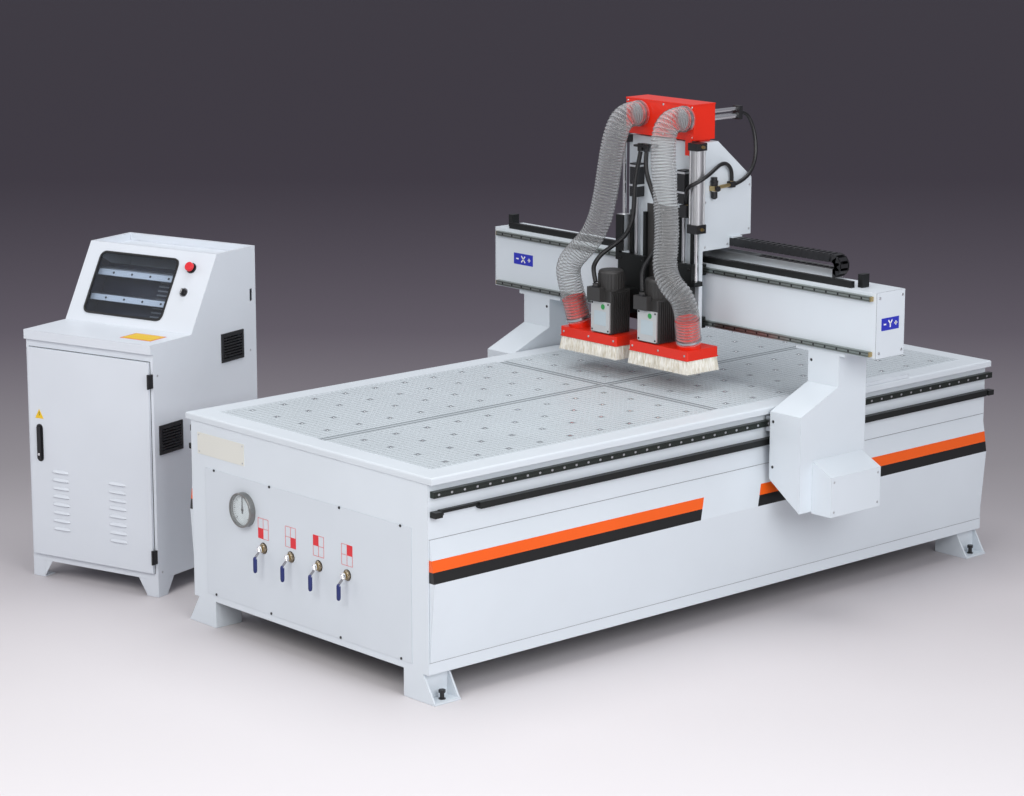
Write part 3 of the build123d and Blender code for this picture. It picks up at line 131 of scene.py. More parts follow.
class Paintbox:
    """Makes each material once and hands it out."""

    def __init__(self) -> None:
        self.made: dict[str, bpy.types.Material] = {}
        self.surface = self._surface_group()

    @staticmethod
    def _surface_group() -> bpy.types.NodeTree:
        """Builds the shared group that varies colour and roughness and adds grain.

        Returns:
            The node group, with Colour, Roughness and Normal outputs.
        """
        group = bpy.data.node_groups.new("Surface", "ShaderNodeTree")
        sockets = group.interface
        for name, kind in (
            ("Colour", "NodeSocketColor"), ("Roughness", "NodeSocketFloat"),
            ("Grain", "NodeSocketFloat"), ("Bump", "NodeSocketFloat"), ("Edge", "NodeSocketFloat"),
        ):
            sockets.new_socket(name, in_out="INPUT", socket_type=kind)
        for name, kind in (
            ("Colour", "NodeSocketColor"), ("Roughness", "NodeSocketFloat"), ("Normal", "NodeSocketVector"),
        ):
            sockets.new_socket(name, in_out="OUTPUT", socket_type=kind)
        nodes, links = group.nodes, group.links
        come = nodes.new("NodeGroupInput")
        leave = nodes.new("NodeGroupOutput")
        coords = nodes.new("ShaderNodeTexCoord")
        broad = nodes.new("ShaderNodeTexNoise")
        broad.inputs["Scale"].default_value = 2.4
        broad.inputs["Detail"].default_value = 4
        fine = nodes.new("ShaderNodeTexNoise")
        fine.inputs["Detail"].default_value = 2
        shade = nodes.new("ShaderNodeMapRange")
        shade.inputs["To Min"].default_value = 0.93
        shade.inputs["To Max"].default_value = 1.05
        tint = nodes.new("ShaderNodeVectorMath")
        tint.operation = "SCALE"
        spread = nodes.new("ShaderNodeMapRange")
        spread.inputs["To Min"].default_value = -0.05
        spread.inputs["To Max"].default_value = 0.07
        add = nodes.new("ShaderNodeMath")
        add.operation = "ADD"
        add.use_clamp = True
        bevel = nodes.new("ShaderNodeBevel")
        bevel.samples = 3
        bump = nodes.new("ShaderNodeBump")
        bump.inputs["Distance"].default_value = 0.0006
        links.new(coords.outputs["Object"], broad.inputs["Vector"])
        links.new(coords.outputs["Object"], fine.inputs["Vector"])
        links.new(come.outputs["Grain"], fine.inputs["Scale"])
        links.new(broad.outputs["Fac"], shade.inputs["Value"])
        links.new(come.outputs["Colour"], tint.inputs[0])
        links.new(shade.outputs["Result"], tint.inputs["Scale"])
        links.new(tint.outputs["Vector"], leave.inputs["Colour"])
        links.new(broad.outputs["Fac"], spread.inputs["Value"])
        links.new(spread.outputs["Result"], add.inputs[0])
        links.new(come.outputs["Roughness"], add.inputs[1])
        links.new(add.outputs["Value"], leave.inputs["Roughness"])
        links.new(come.outputs["Edge"], bevel.inputs["Radius"])
        links.new(bevel.outputs["Normal"], bump.inputs["Normal"])
        links.new(come.outputs["Bump"], bump.inputs["Strength"])
        links.new(fine.outputs["Fac"], bump.inputs["Height"])
        links.new(bump.outputs["Normal"], leave.inputs["Normal"])
        return group

    def _start(self, name: str, finish: Finish):
        """Makes a material whose Principled shader is fed by the Surface group.

        Args:
            name: the material's name.
            finish: the look to set on the sockets.

        Returns:
            The material, its node tree, the group node and the Principled node.
        """
        material = bpy.data.materials.new(name)
        material.use_nodes = True
        tree = material.node_tree
        shader = tree.nodes["Principled BSDF"]
        surface = tree.nodes.new("ShaderNodeGroup")
        surface.node_tree = self.surface
        surface.inputs["Colour"].default_value = (*finish.colour, 1)
        surface.inputs["Roughness"].default_value = finish.roughness
        surface.inputs["Grain"].default_value = finish.grain
        surface.inputs["Bump"].default_value = finish.bump
        surface.inputs["Edge"].default_value = finish.round_edge
        shader.inputs["Metallic"].default_value = finish.metallic
        shader.inputs["Coat Weight"].default_value = finish.coat
        shader.inputs["Base Color"].default_value = (*finish.colour, 1)
        tree.links.new(surface.outputs["Colour"], shader.inputs["Base Color"])
        tree.links.new(surface.outputs["Roughness"], shader.inputs["Roughness"])
        tree.links.new(surface.outputs["Normal"], shader.inputs["Normal"])
        self.made[name] = material
        return material, tree, surface, shader

    def plain(self, look: Look) -> bpy.types.Material:
        """Returns the material of a plain finish, made on first use."""
        if look.name in self.made:
            return self.made[look.name]
        return self._start(look.name, look.value)[0]

    def by_height(self, name: str, below: Look, above: Look, height: float) -> bpy.types.Material:
        """Two colours split at a height.

        Args:
            name: the material's name.
            below: finish under the split.
            above: finish over it.
            height: Z of the split, in metres.

        Returns:
            The material.
        """
        if name in self.made:
            return self.made[name]
        material, tree, surface, shader = self._start(name, above.value)
        coords = tree.nodes.new("ShaderNodeTexCoord")
        split = tree.nodes.new("ShaderNodeSeparateXYZ")
        test = tree.nodes.new("ShaderNodeMath")
        test.operation = "GREATER_THAN"
        test.inputs[1].default_value = height
        mix = tree.nodes.new("ShaderNodeMix")
        mix.data_type = "RGBA"
        mix.inputs[6].default_value = (*below.value.colour, 1)
        mix.inputs[7].default_value = (*above.value.colour, 1)
        metal = tree.nodes.new("ShaderNodeMapRange")
        metal.inputs["To Min"].default_value = below.value.metallic
        metal.inputs["To Max"].default_value = above.value.metallic
        tree.links.new(coords.outputs["Object"], split.inputs[0])
        tree.links.new(split.outputs["Z"], test.inputs[0])
        tree.links.new(test.outputs[0], mix.inputs[0])
        tree.links.new(test.outputs[0], metal.inputs["Value"])
        tree.links.new(mix.outputs[2], surface.inputs["Colour"])
        tree.links.new(metal.outputs["Result"], shader.inputs["Metallic"])
        return material

    def striped_skin(self) -> bpy.types.Material:
        """White skin with an orange and a black band, cut by a slanted gap."""
        material, tree, surface, _ = self._start("StripedSkin", Look.WHITE.value)
        nodes, links = tree.nodes, tree.links
        coords = nodes.new("ShaderNodeTexCoord")
        split = nodes.new("ShaderNodeSeparateXYZ")
        links.new(coords.outputs["Object"], split.inputs[0])

        def step(source, edge: float, over: bool = True):
            test = nodes.new("ShaderNodeMath")
            test.operation = "GREATER_THAN" if over else "LESS_THAN"
            test.inputs[1].default_value = edge
            links.new(source, test.inputs[0])
            return test.outputs[0]

        def both(first, second):
            product = nodes.new("ShaderNodeMath")
            product.operation = "MULTIPLY"
            links.new(first, product.inputs[0])
            links.new(second, product.inputs[1])
            return product.outputs[0]

        lean = nodes.new("ShaderNodeMath")
        lean.operation = "MULTIPLY_ADD"
        lean.inputs[1].default_value = -0.35
        links.new(split.outputs["Z"], lean.inputs[0])
        links.new(split.outputs["Y"], lean.inputs[2])
        centre = BED_CENTRE.y - 0.35 * 0.485
        gap = nodes.new("ShaderNodeMath")
        gap.operation = "MAXIMUM"
        links.new(step(lean.outputs[0], centre - 0.168, over=False), gap.inputs[0])
        links.new(step(lean.outputs[0], centre + 0.147), gap.inputs[1])
        orange = both(both(step(split.outputs["Z"], 0.485), step(split.outputs["Z"], 0.527, False)), gap.outputs[0])
        black = both(both(step(split.outputs["Z"], 0.444), step(split.outputs["Z"], 0.485, False)), gap.outputs[0])
        first = nodes.new("ShaderNodeMix")
        first.data_type = "RGBA"
        first.inputs[6].default_value = (*Look.WHITE.value.colour, 1)
        first.inputs[7].default_value = (0.90, 0.115, 0.004, 1)
        second = nodes.new("ShaderNodeMix")
        second.data_type = "RGBA"
        second.inputs[7].default_value = (0.006, 0.006, 0.006, 1)
        links.new(orange, first.inputs[0])
        links.new(first.outputs[2], second.inputs[6])
        links.new(black, second.inputs[0])
        links.new(second.outputs[2], surface.inputs["Colour"])
        return material

    def clear(self, name: str, tint: tuple[float, float, float], body: float, edge: float) -> bpy.types.Material:
        """Thin clear plastic or glass that shows more at a glancing angle.

        Args:
            name: the material's name.
            tint: colour of what passes through.
            body: how much shows face on.
            edge: how much shows at the rim.

        Returns:
            The material.
        """
        if name in self.made:
            return self.made[name]
        material, tree, _, shader = self._start(name, Finish((0.80, 0.82, 0.84), 0.12, bump=0.0))
        shader.inputs["Specular IOR Level"].default_value = 0.8
        nodes, links = tree.nodes, tree.links
        through = nodes.new("ShaderNodeBsdfTransparent")
        through.inputs["Color"].default_value = (*tint, 1)
        facing = nodes.new("ShaderNodeLayerWeight")
        facing.inputs["Blend"].default_value = 0.45
        amount = nodes.new("ShaderNodeMapRange")
        amount.inputs["To Min"].default_value = body
        amount.inputs["To Max"].default_value = edge
        mix = nodes.new("ShaderNodeMixShader")
        links.new(facing.outputs["Facing"], amount.inputs["Value"])
        links.new(amount.outputs["Result"], mix.inputs["Fac"])
        links.new(through.outputs["BSDF"], mix.inputs[1])
        links.new(shader.outputs["BSDF"], mix.inputs[2])
        links.new(mix.outputs["Shader"], nodes["Material Output"].inputs["Surface"])
        return material

    def bristle(self) -> bpy.types.Material:
        """Cream bristles, with paler and darker streaks along them."""
        if "Bristle" in self.made:
            return self.made["Bristle"]
        material, tree, surface, _ = self._start("Bristle", Finish((0.80, 0.74, 0.58), 0.7, bump=0.0))
        nodes, links = tree.nodes, tree.links
        coords = nodes.new("ShaderNodeTexCoord")
        noise = nodes.new("ShaderNodeTexNoise")
        noise.inputs["Scale"].default_value = 1.0
        stretch = nodes.new("ShaderNodeMapping")
        stretch.inputs["Scale"].default_value = (240, 240, 9)
        ramp = nodes.new("ShaderNodeValToRGB")
        ramp.color_ramp.elements[0].color = (0.62, 0.56, 0.43, 1)
        ramp.color_ramp.elements[0].position = 0.3
        ramp.color_ramp.elements[1].color = (0.93, 0.91, 0.85, 1)
        ramp.color_ramp.elements[1].position = 0.62
        links.new(coords.outputs["Object"], stretch.inputs["Vector"])
        links.new(stretch.outputs["Vector"], noise.inputs["Vector"])
        links.new(noise.outputs["Fac"], ramp.inputs["Fac"])
        links.new(ramp.outputs["Color"], surface.inputs["Colour"])
        return material

    def floor(self) -> bpy.types.Material:
        """Pale floor with painted shade that darkens it to a violet grey far away."""
        material = bpy.data.materials.new("Floor")
        material.use_nodes = True
        tree = material.node_tree
        shader = tree.nodes["Principled BSDF"]
        shader.inputs["Roughness"].default_value = 0.6
        coords = tree.nodes.new("ShaderNodeTexCoord")
        away = tree.nodes.new("ShaderNodeVectorMath")
        away.operation = "DOT_PRODUCT"
        # Painted shade: the floor's colour darkens with distance along this direction.
        away.inputs[1].default_value = (-1.05, 0.947, 0)
        ramp = tree.nodes.new("ShaderNodeValToRGB")
        far = tree.nodes.new("ShaderNodeMapRange")
        far.inputs["From Min"].default_value = -5.0
        far.inputs["From Max"].default_value = 16.0
        steps = ramp.color_ramp.elements
        steps[0].position = 0.0
        steps[0].color = (0.76, 0.735, 0.745, 1)
        steps[1].position = 1.0
        steps[1].color = (0.068, 0.046, 0.074, 1)
        for place, colour in ((0.12, (0.70, 0.67, 0.68)), (0.24, (0.54, 0.51, 0.525)), (0.36, (0.34, 0.315, 0.33)), (0.58, (0.165, 0.138, 0.168))):
            steps.new(place).color = (*colour, 1)
        links = tree.links
        links.new(coords.outputs["Object"], away.inputs[0])
        links.new(away.outputs["Value"], far.inputs["Value"])
        links.new(far.outputs["Result"], ramp.inputs["Fac"])
        links.new(ramp.outputs["Color"], shader.inputs["Base Color"])
        return material


PAINT = Paintbox()


class Shape:
    """One new piece, gathered from closed shells in machine coordinates, in metres."""

    def __init__(self, name: str, material: bpy.types.Material, place: Matrix | None = None) -> None:
        self.name = name
        self.material = material
        self.place = np.array(place if place is not None else Matrix.Identity(4))
        self.points: list[np.ndarray] = []
        self.faces: list[list[int]] = []
        self.count = 0

    def shell(self, points: np.ndarray, faces: list[list[int]], closed: bool = True) -> "Shape":
        """Adds one shell and turns its faces outward.

        Args:
            points: (n, 3) corner positions.
            faces: corner numbers of each face.
            closed: False for an open sheet, whose faces keep their order.

        Returns:
            This shape.
        """
        points = np.asarray(points, float).reshape(-1, 3)
        if closed:
            volume = 0.0
            centre = points.mean(0)
            for face in faces:
                a = points[face[0]] - centre
                for i in range(1, len(face) - 1):
                    volume += np.dot(a, np.cross(points[face[i]] - centre, points[face[i + 1]] - centre))
            if volume < 0:
                faces = [face[::-1] for face in faces]
        self.faces += [[i + self.count for i in face] for face in faces]
        moved = points @ self.place[:3, :3].T + self.place[:3, 3]
        self.points.append(moved)
        self.count += len(points)
        return self

    def box(self, low, high) -> "Shape":
        """Adds a box between two corners."""
        (x0, y0, z0), (x1, y1, z1) = low, high
        corners = [(x, y, z) for x in (x0, x1) for y in (y0, y1) for z in (z0, z1)]
        return self.shell(corners, [[0, 1, 3, 2], [4, 6, 7, 5], [0, 4, 5, 1], [2, 3, 7, 6], [0, 2, 6, 4], [1, 5, 7, 3]])

    def prism(self, outline, axis: str, low: float, high: float) -> "Shape":
        """Adds a flat outline carried along an axis.

        Args:
            outline: corners in the two other axes, in X, Y, Z order.
            axis: x, y or z.
            low: start on the axis.
            high: end on the axis.

        Returns:
            This shape.
        """
        k = "xyz".index(axis)
        flat = np.asarray(outline, float)
        n = len(flat)
        ends = [np.insert(flat, k, level, axis=1) for level in (low, high)]
        sides = [[i, (i + 1) % n, (i + 1) % n + n, i + n] for i in range(n)]
        caps = [list(range(n))[::-1], [i + n for i in range(n)]]
        return self.shell(np.vstack(ends), sides + caps)

    def ring(self, low, high, corner: float, band: float, z0: float, z1: float, axis: str = "z", base: float = 0.0):
        """Adds a flat frame with round corners: two rounded rectangles, one inside the other.

        Args:
            low: outer low corner, in the two other axes.
            high: outer high corner.
            corner: outer corner radius.
            band: width of the frame.
            z0: start on the axis.
            z1: end on the axis.
            axis: the frame's normal.
            base: added to both ends.

        Returns:
            This shape.
        """
        k = "xyz".index(axis)

        def outline(inset: float) -> np.ndarray:
            r = max(corner - inset, 0.0005)
            (a0, b0), (a1, b1) = (low[0] + inset, low[1] + inset), (high[0] - inset, high[1] - inset)
            points = []
            for n, (ca, cb) in enumerate(((a1 - r, b1 - r), (a0 + r, b1 - r), (a0 + r, b0 + r), (a1 - r, b0 + r))):
                for t in np.linspace(n * math.pi / 2, (n + 1) * math.pi / 2, 7):
                    points.append((ca + r * math.cos(t), cb + r * math.sin(t)))
            return np.array(points)

        outer, inner = outline(0.0), outline(band)
        n = len(outer)
        rows = [np.insert(flat, k, base + z, axis=1) for z in (z0, z1) for flat in (outer, inner)]
        faces = []
        for i in range(n):
            j = (i + 1) % n
            faces += [[i, j, j + n, i + n], [i + 2 * n, i + 3 * n, j + 3 * n, j + 2 * n],
                      [i, i + 2 * n, j + 2 * n, j], [i + n, j + n, j + 3 * n, i + 3 * n]]
        return self.shell(np.vstack(rows), faces)

    def lathe(self, profile, start, direction, sides: int = 24) -> "Shape":
        """Turns a profile about an axis: radius r at distance s becomes a ring of r (cos t, sin t) at s.

        Args:
            profile: (distance along the axis, radius) pairs, from one end to the other.
            start: point on the axis at distance 0.
            direction: the axis.
            sides: points per ring.

        Returns:
            This shape.
        """
        axis = np.asarray(Vector(direction).normalized())
        helper = np.array([0, 0, 1.0]) if abs(axis[2]) < 0.9 else np.array([1.0, 0, 0])
        u = np.cross(axis, helper)
        u /= np.linalg.norm(u)
        v = np.cross(axis, u)
        turns = np.linspace(0, 2 * math.pi, sides, endpoint=False)
        ring = np.outer(np.cos(turns), u) + np.outer(np.sin(turns), v)
        rows = [np.asarray(start) + axis * s + ring * r for s, r in profile]
        faces = []
        for row in range(len(rows) - 1):
            for i in range(sides):
                j = (i + 1) % sides
                faces.append([row * sides + i, row * sides + j, (row + 1) * sides + j, (row + 1) * sides + i])
        faces.append(list(range(sides))[::-1])
        faces.append([(len(rows) - 1) * sides + i for i in range(sides)])
        return self.shell(np.vstack(rows), faces)

    def rod(self, start, end, radius: float, sides: int = 20, chamfer: float = 0.0) -> "Shape":
        """Adds a round bar between two points, with an optional chamfer at both ends."""
        span = Vector(end) - Vector(start)
        c = chamfer
        profile = [(0, radius - c), (c, radius), (span.length - c, radius), (span.length, radius - c)]
        if not c:
            profile = [(0, radius), (span.length, radius)]
        return self.lathe(profile, start, span, sides)

    def tube(self, path: np.ndarray, radii, sides: int = 16) -> "Shape":
        """Sweeps a circle along a path: ring i is path[i] + r_i (cos t N_i + sin t B_i), with a frame that never twists."""
        normals, binormals = carried_frame(path)
        turns = np.linspace(0, 2 * math.pi, sides, endpoint=False)
        radii = np.broadcast_to(radii, (len(path),))
        rings = (
            path[:, None]
            + radii[:, None, None]
            * (np.cos(turns)[None, :, None] * normals[:, None] + np.sin(turns)[None, :, None] * binormals[:, None])
        )
        n = len(path)
        faces = []
        for row in range(n - 1):
            for i in range(sides):
                j = (i + 1) % sides
                faces.append([row * sides + i, row * sides + j, (row + 1) * sides + j, (row + 1) * sides + i])
        faces.append(list(range(sides))[::-1])
        faces.append([(n - 1) * sides + i for i in range(sides)])
        self.faces += [[i + self.count for i in face] for face in faces]
        moved = rings.reshape(-1, 3) @ self.place[:3, :3].T + self.place[:3, 3]
        self.points.append(moved)
        self.count += n * sides
        return self

    def build(self, smooth: float = 35.0) -> bpy.types.Object:
        """Makes the object, moved from machine to row coordinates.

        Args:
            smooth: faces that meet at less than this many degrees shade as one.

        Returns:
            The new object.
        """
        points = np.vstack(self.points) + np.array(BED_CENTRE)
        mesh = bpy.data.meshes.new(self.name)
        mesh.from_pydata(points.tolist(), [], self.faces)
        mesh.materials.append(self.material)
        mesh.validate()
        mesh.polygons.foreach_set("use_smooth", [True] * len(mesh.polygons))
        mesh.set_sharp_from_angle(angle=math.radians(smooth))
        mesh.update()
        made = bpy.data.objects.new(self.name, mesh)
        bpy.context.scene.collection.objects.link(made)
        return made

    def on(self, body: str, smooth: float = 35.0) -> bpy.types.Object:
        """Builds the piece and lets it ride on a CAD body."""
        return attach(self.build(smooth), body)


def carried_frame(path: np.ndarray) -> tuple[np.ndarray, np.ndarray]:
    """Two directions across a path at each point, turned as little as possible from one point to the next."""
    along = np.gradient(path, axis=0)
    along /= np.linalg.norm(along, axis=1)[:, None]
    helper = np.array([1.0, 0, 0]) if abs(along[0, 0]) < 0.8 else np.array([0, 1.0, 0])
    normal = np.cross(along[0], helper)
    normals = []
    for tangent in along:
        normal = normal - tangent * np.dot(normal, tangent)
        normal = normal / np.linalg.norm(normal)
        normals.append(normal)
    normals = np.array(normals)
    return normals, np.cross(along, normals)


def eased(route, spacing: float) -> np.ndarray:
    """Samples the clamped quadratic spline of a route at an even spacing.

    Each stretch runs from the middle of one straight run to the middle of the next,
    as a parabola that leaves and arrives along them.

    Args:
        route: corner points, in metres.
        spacing: distance between samples.

    Returns:
        (n, 3) points.
    """
    p = np.asarray(route, float)
    joins = [p[0]] + [(p[i] + p[i + 1]) / 2 for i in range(1, len(p) - 2)] + [p[-1]]
    t = np.linspace(0, 1, 24, endpoint=False)[:, None]
    pieces = []
    for i in range(len(joins) - 1):
        a, b, c = joins[i], p[i + 1], joins[i + 1]
        pieces.append((1 - t) ** 2 * a + 2 * t * (1 - t) * b + t**2 * c)
    line = np.vstack([*pieces, p[-1:]])
    run = np.concatenate([[0], np.cumsum(np.linalg.norm(np.diff(line, axis=0), axis=1))])
    n = max(2, round(run[-1] / spacing))
    even = np.linspace(0, run[-1], n + 1)
    return np.column_stack([np.interp(even, run, line[:, k]) for k in range(3)])


def length_of(path: np.ndarray) -> float:
    """Length of a polyline, in metres."""
    return float(np.linalg.norm(np.diff(path, axis=0), axis=1).sum())


def screws(name: str, look: Look, places, direction, radius: float, height: float, body: str, place=None):
    """Button-head screws in one piece.

    Args:
        name: piece name.
        look: finish.
        places: points on the surface.
        direction: outward from the surface.
        radius: head radius.
        height: head height.
        body: CAD body to ride on.
        place: optional local frame.

    Returns:
        The new object.
    """
    shape = Shape(name, PAINT.plain(look), place)
    r, h = radius, height
    for at in places:
        start = Vector(at) - Vector(direction).normalized() * 0.0004
        shape.lathe([(0, r), (h * 0.5, r * 0.96), (h * 0.85, r * 0.7), (h, r * 0.45), (h * 0.6, r * 0.4)], start, direction, 12)
    return shape.on(body)


@dataclass
class Bed:
    """The welded bed with its table, rails, gauge and valves."""

    half_width: float = 0.698
    half_length: float = 1.525
    table_top: float = 0.830

    def paint(self) -> None:
        """Gives the bed's CAD nodes their finishes."""
        for node, look in (
            ("bed_frame", Look.WHITE), ("service_panels", Look.PANEL), ("tabletop", Look.TABLE),
            ("vacuum_deck", Look.DECK_TONE_AND_SHADE), ("y_rails", Look.RAIL), ("valve_bodies", Look.BRASS),
            ("gauge_needle", Look.BLACK),
        ):
            finish(node, PAINT.plain(look))
        finish("side_skins", PAINT.striped_skin())
        finish("gauge_body", PAINT.plain(Look.BEZEL))
        finish("fasteners", PAINT.plain(Look.BLACK))

    def deck_pads(self) -> None:
        """Lays the grid of square pads over the four vacuum zones, each pad a flat top with sloping sides."""
        pitch, half_low, half_high, rise = 0.0254, 0.0110, 0.0095, 0.0012
        # Pad tops are lighter and the deck between them darker, partly from the board's tone and partly as painted
        # light on the tops and painted shade in the grooves.
        pads = Shape("deck_pads", PAINT.plain(Look.PAD))
        inserts = Shape("deck_inserts", PAINT.plain(Look.CHROME))
        corner = np.array([(-1, -1), (1, -1), (1, 1), (-1, 1)])
        z = self.table_top
        for sx in (-1, 1):
            for sy in (-1, 1):
                for i in range(24):
                    for j in range(56):
                        x = sx * (0.020 + pitch * (i + 0.5))
                        y = sy * (0.020 + pitch * (j + 0.5))
                        if i % 6 == 3 and j % 6 == 3 and i < 23:
                            inserts.rod((x, y, z - 0.001), (x, y, z + 0.0014), 0.0068, 14, 0.0006)
                            continue
                        low = np.column_stack([corner * half_low + (x, y), np.full(4, z - 0.0004)])
                        high = np.column_stack([corner * half_high + (x, y), np.full(4, z + rise)])
                        faces = [[4, 5, 6, 7]] + [[k, (k + 1) % 4, (k + 1) % 4 + 4, k + 4] for k in range(4)]
                        pads.shell(np.vstack([low, high]), faces, closed=False)
        pads.on("base")
        inserts.on("base")
        seam = Shape("deck_seams", PAINT.plain(Look.PAD))
        seam.box((-0.0045, -1.438, z - 0.002), (0.0045, 1.438, z + 0.0004))
        seam.box((-0.608, -0.0045, z - 0.002), (-0.0046, 0.0045, z + 0.0004))
        seam.box((0.0046, -0.0045, z - 0.002), (0.608, 0.0045, z + 0.0004))
        seam.on("base")

    def rails(self) -> None:
        """Adds the rails' screw holes and grooves, and the toothed racks with their end stops."""
        holes = Shape("y_rail_holes", PAINT.plain(Look.STEEL))
        grooves = Shape("y_rail_grooves", PAINT.plain(Look.DARK_STEEL))
        racks = Shape("y_rack_teeth", PAINT.plain(Look.DARK_STEEL))
        stops = Shape("y_rack_stops", PAINT.plain(Look.DARK_STEEL))
        bumpers = Shape("y_rack_bumpers", PAINT.plain(Look.RUBBER))
        for side in (-1, 1):
            face = self.half_width + 0.022
            for n in range(51):
                y = -1.49 + 0.06 * n
                holes.rod((side * (face - 0.002), y, 0.765), (side * (face + 0.0003), y, 0.765), 0.0052, 12)
            for z in (0.7598, 0.7702):
                grooves.box((side * (face - 0.001), -1.512, z - 0.0012), (side * (face + 0.0006), 1.544, z + 0.0012))
            back, front = side * self.half_width, side * (self.half_width + 0.025)
            racks.box((back, -1.30, 0.6845), (front, 1.514, 0.7050))
            racks.box((back, -1.479, 0.6930), (side * (self.half_width + 0.016), -1.30, 0.7050))
            pitch = 0.00628
            for n in range(447):
                y = -1.296 + pitch * n
                racks.prism([(y, 0.6850), (y + 0.0014, 0.6802), (y + 0.0034, 0.6802), (y + 0.0048, 0.6850)], "x", back, front)
            for y0, y1 in ((-1.514, -1.480), (1.515, 1.549)):
                stops.box((back, y0, 0.682), (side * (self.half_width + 0.031), y1, 0.703))
            bumpers.lathe([(0, 0.007), (0.006, 0.009), (0.012, 0.007)], (side * 0.714, -1.4805, 0.6925), (0, 1, 0))
            bumpers.lathe([(0, 0.007), (0.006, 0.009), (0.012, 0.007)], (side * 0.714, 1.5155, 0.6925), (0, -1, 0))
        holes.on("base")
        grooves.on("base")
        stops.on("base")
        bumpers.on("base")
        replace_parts(racks.on("base", 20), "y_racks")

    def panel_fittings(self) -> None:
        """Adds the gauge's dial and glass, the zone labels, the blank name plate and the levers' nuts."""
        face = -1.527
        gauge = (-0.362, 0.511)
        dial = Shape("gauge_dial", PAINT.plain(Look.DIAL))
        dial.rod((gauge[0], face - 0.0098, gauge[1]), (gauge[0], face - 0.0108, gauge[1]), 0.0592, 40)
        dial.on("base")
        ticks = Shape("gauge_ticks", PAINT.plain(Look.BLACK))
        for n in range(31):
            turn = math.radians(-135 + 9 * n)
            reach = 0.043 if n % 5 == 0 else 0.048
            half = 0.0012 if n % 5 == 0 else 0.0006
            way = np.array([math.sin(turn), math.cos(turn)])
            across = np.array([way[1], -way[0]]) * half
            corners = [way * reach - across, way * reach + across, way * 0.054 + across, way * 0.054 - across]
            ticks.prism([(gauge[0] + c[0], gauge[1] + c[1]) for c in corners], "y", face - 0.0112, face - 0.0107)
        ticks.on("base")
        glass = Shape("gauge_glass", PAINT.clear("Glass", (0.97, 0.98, 0.98), 0.02, 0.25))
        glass.rod((gauge[0], face - 0.0225, gauge[1]), (gauge[0], face - 0.0205, gauge[1]), 0.0596, 40)
        glass.on("base")
        marks = Shape("zone_marks", PAINT.plain(Look.LABEL_RED))
        nuts = Shape("valve_nuts", PAINT.plain(Look.BRONZE))
        for number, x in enumerate((-0.249, -0.083, 0.083, 0.249)):
            half_w, half_h, z = 0.031, 0.039, 0.457
            for dx in (-half_w, 0, half_w):
                marks.box((x + dx - 0.0006, face - 0.0008, z - half_h), (x + dx + 0.0006, face + 0.0002, z + half_h))
            for dz in (-half_h, 0, half_h):
                marks.box((x - half_w, face - 0.0008, z + dz - 0.0006), (x + half_w, face + 0.0002, z + dz + 0.0006))
            qx, qz = ((-1, -1), (1, -1), (-1, 1), (1, 1))[number]
            low_x, high_x = sorted((x, x + qx * half_w))
            low_z, high_z = sorted((z, z + qz * half_h))
            marks.box((low_x, face - 0.0011, low_z), (high_x, face + 0.0002, high_z))
            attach(self.lever_nut(number + 1, x), f"lever_{number + 1}")
            self.lever(number + 1, x)
        marks.on("base")
        collars = Shape("valve_collars", PAINT.plain(Look.BRONZE))
        for x in (-0.249, -0.083, 0.083, 0.249):
            collars.lathe([(0, 0.0215), (0.004, 0.0215), (0.007, 0.016), (0.010, 0.0145)], (x, face + 0.0005, 0.382), (0, -1, 0), 6)
        collars.on("base")
        plate = Shape("name_plate", PAINT.plain(Look.IVORY))
        plate.box((-0.655, -1.5268, 0.678), (-0.362, -1.5249, 0.762))
        plate.on("base")
        corners = [(x, -1.5268, z) for x in (-0.645, -0.372) for z in (0.687, 0.753)]
        screws("plate_rivets", Look.STEEL, corners, (0, -1, 0), 0.0035, 0.0018, "base")
        seam = Shape("frame_seams", PAINT.plain(Look.SEAM))
        for side in (-1, 1):
            a = self.half_width
            seam.box((side * (a - 0.003), -1.518, 0.6002), (side * (a + 0.0008), 1.518, 0.6018))
            seam.box((side * (a - 0.003), -1.518, 0.1484), (side * (a + 0.0008), 1.518, 0.1499))
        seam.on("base")
        strip = Shape("table_strip", PAINT.plain(Look.WHITE))
        strip.box((0.662, 0.600, 0.8298), (0.722, 1.010, 0.8440))
        strip.on("base")

    @staticmethod
    def lever(number: int, x: float) -> None:
        """One valve's bent steel strip with its slim rounded grip."""
        arm = Shape(f"lever_arm_{number}", PAINT.plain(Look.CHROME))
        line = [(-1.5462, 0.394), (-1.5462, 0.374), (-1.5690, 0.352), (-1.5690, 0.318)]
        back = [(y + 0.0026, z - 0.0005) for y, z in line[::-1]]
        arm.prism(line + back, "x", x - 0.0075, x + 0.0075)
        arm.lathe([(0, 0.0115), (0.003, 0.0115)], (x, -1.5440, 0.382), (0, -1, 0), 20)
        arm.on(f"lever_{number}")
        grip = Shape(f"lever_grip_{number}", PAINT.plain(Look.BLUE))
        grip.lathe([(0, 0.004), (0.003, 0.0068), (0.010, 0.0080), (0.052, 0.0080), (0.059, 0.0066), (0.062, 0.0035)],
                   (x, -1.5682, 0.356), (0, 0, -1), 16)
        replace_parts(grip.on(f"lever_{number}"), f"valve_lever_{number}")

    @staticmethod
    def lever_nut(number: int, x: float) -> bpy.types.Object:
        """The nut on one valve's stem."""
        shape = Shape(f"lever_nut_{number}", PAINT.plain(Look.CHROME))
        shape.lathe([(0, 0.0085), (0.006, 0.0085), (0.0075, 0.007)], (x, -1.5482, 0.382), (0, -1, 0), 6)
        return shape.build()

    def build(self) -> None:
        """Builds everything on the bed."""
        self.paint()
        self.deck_pads()
        self.rails()
        self.panel_fittings()


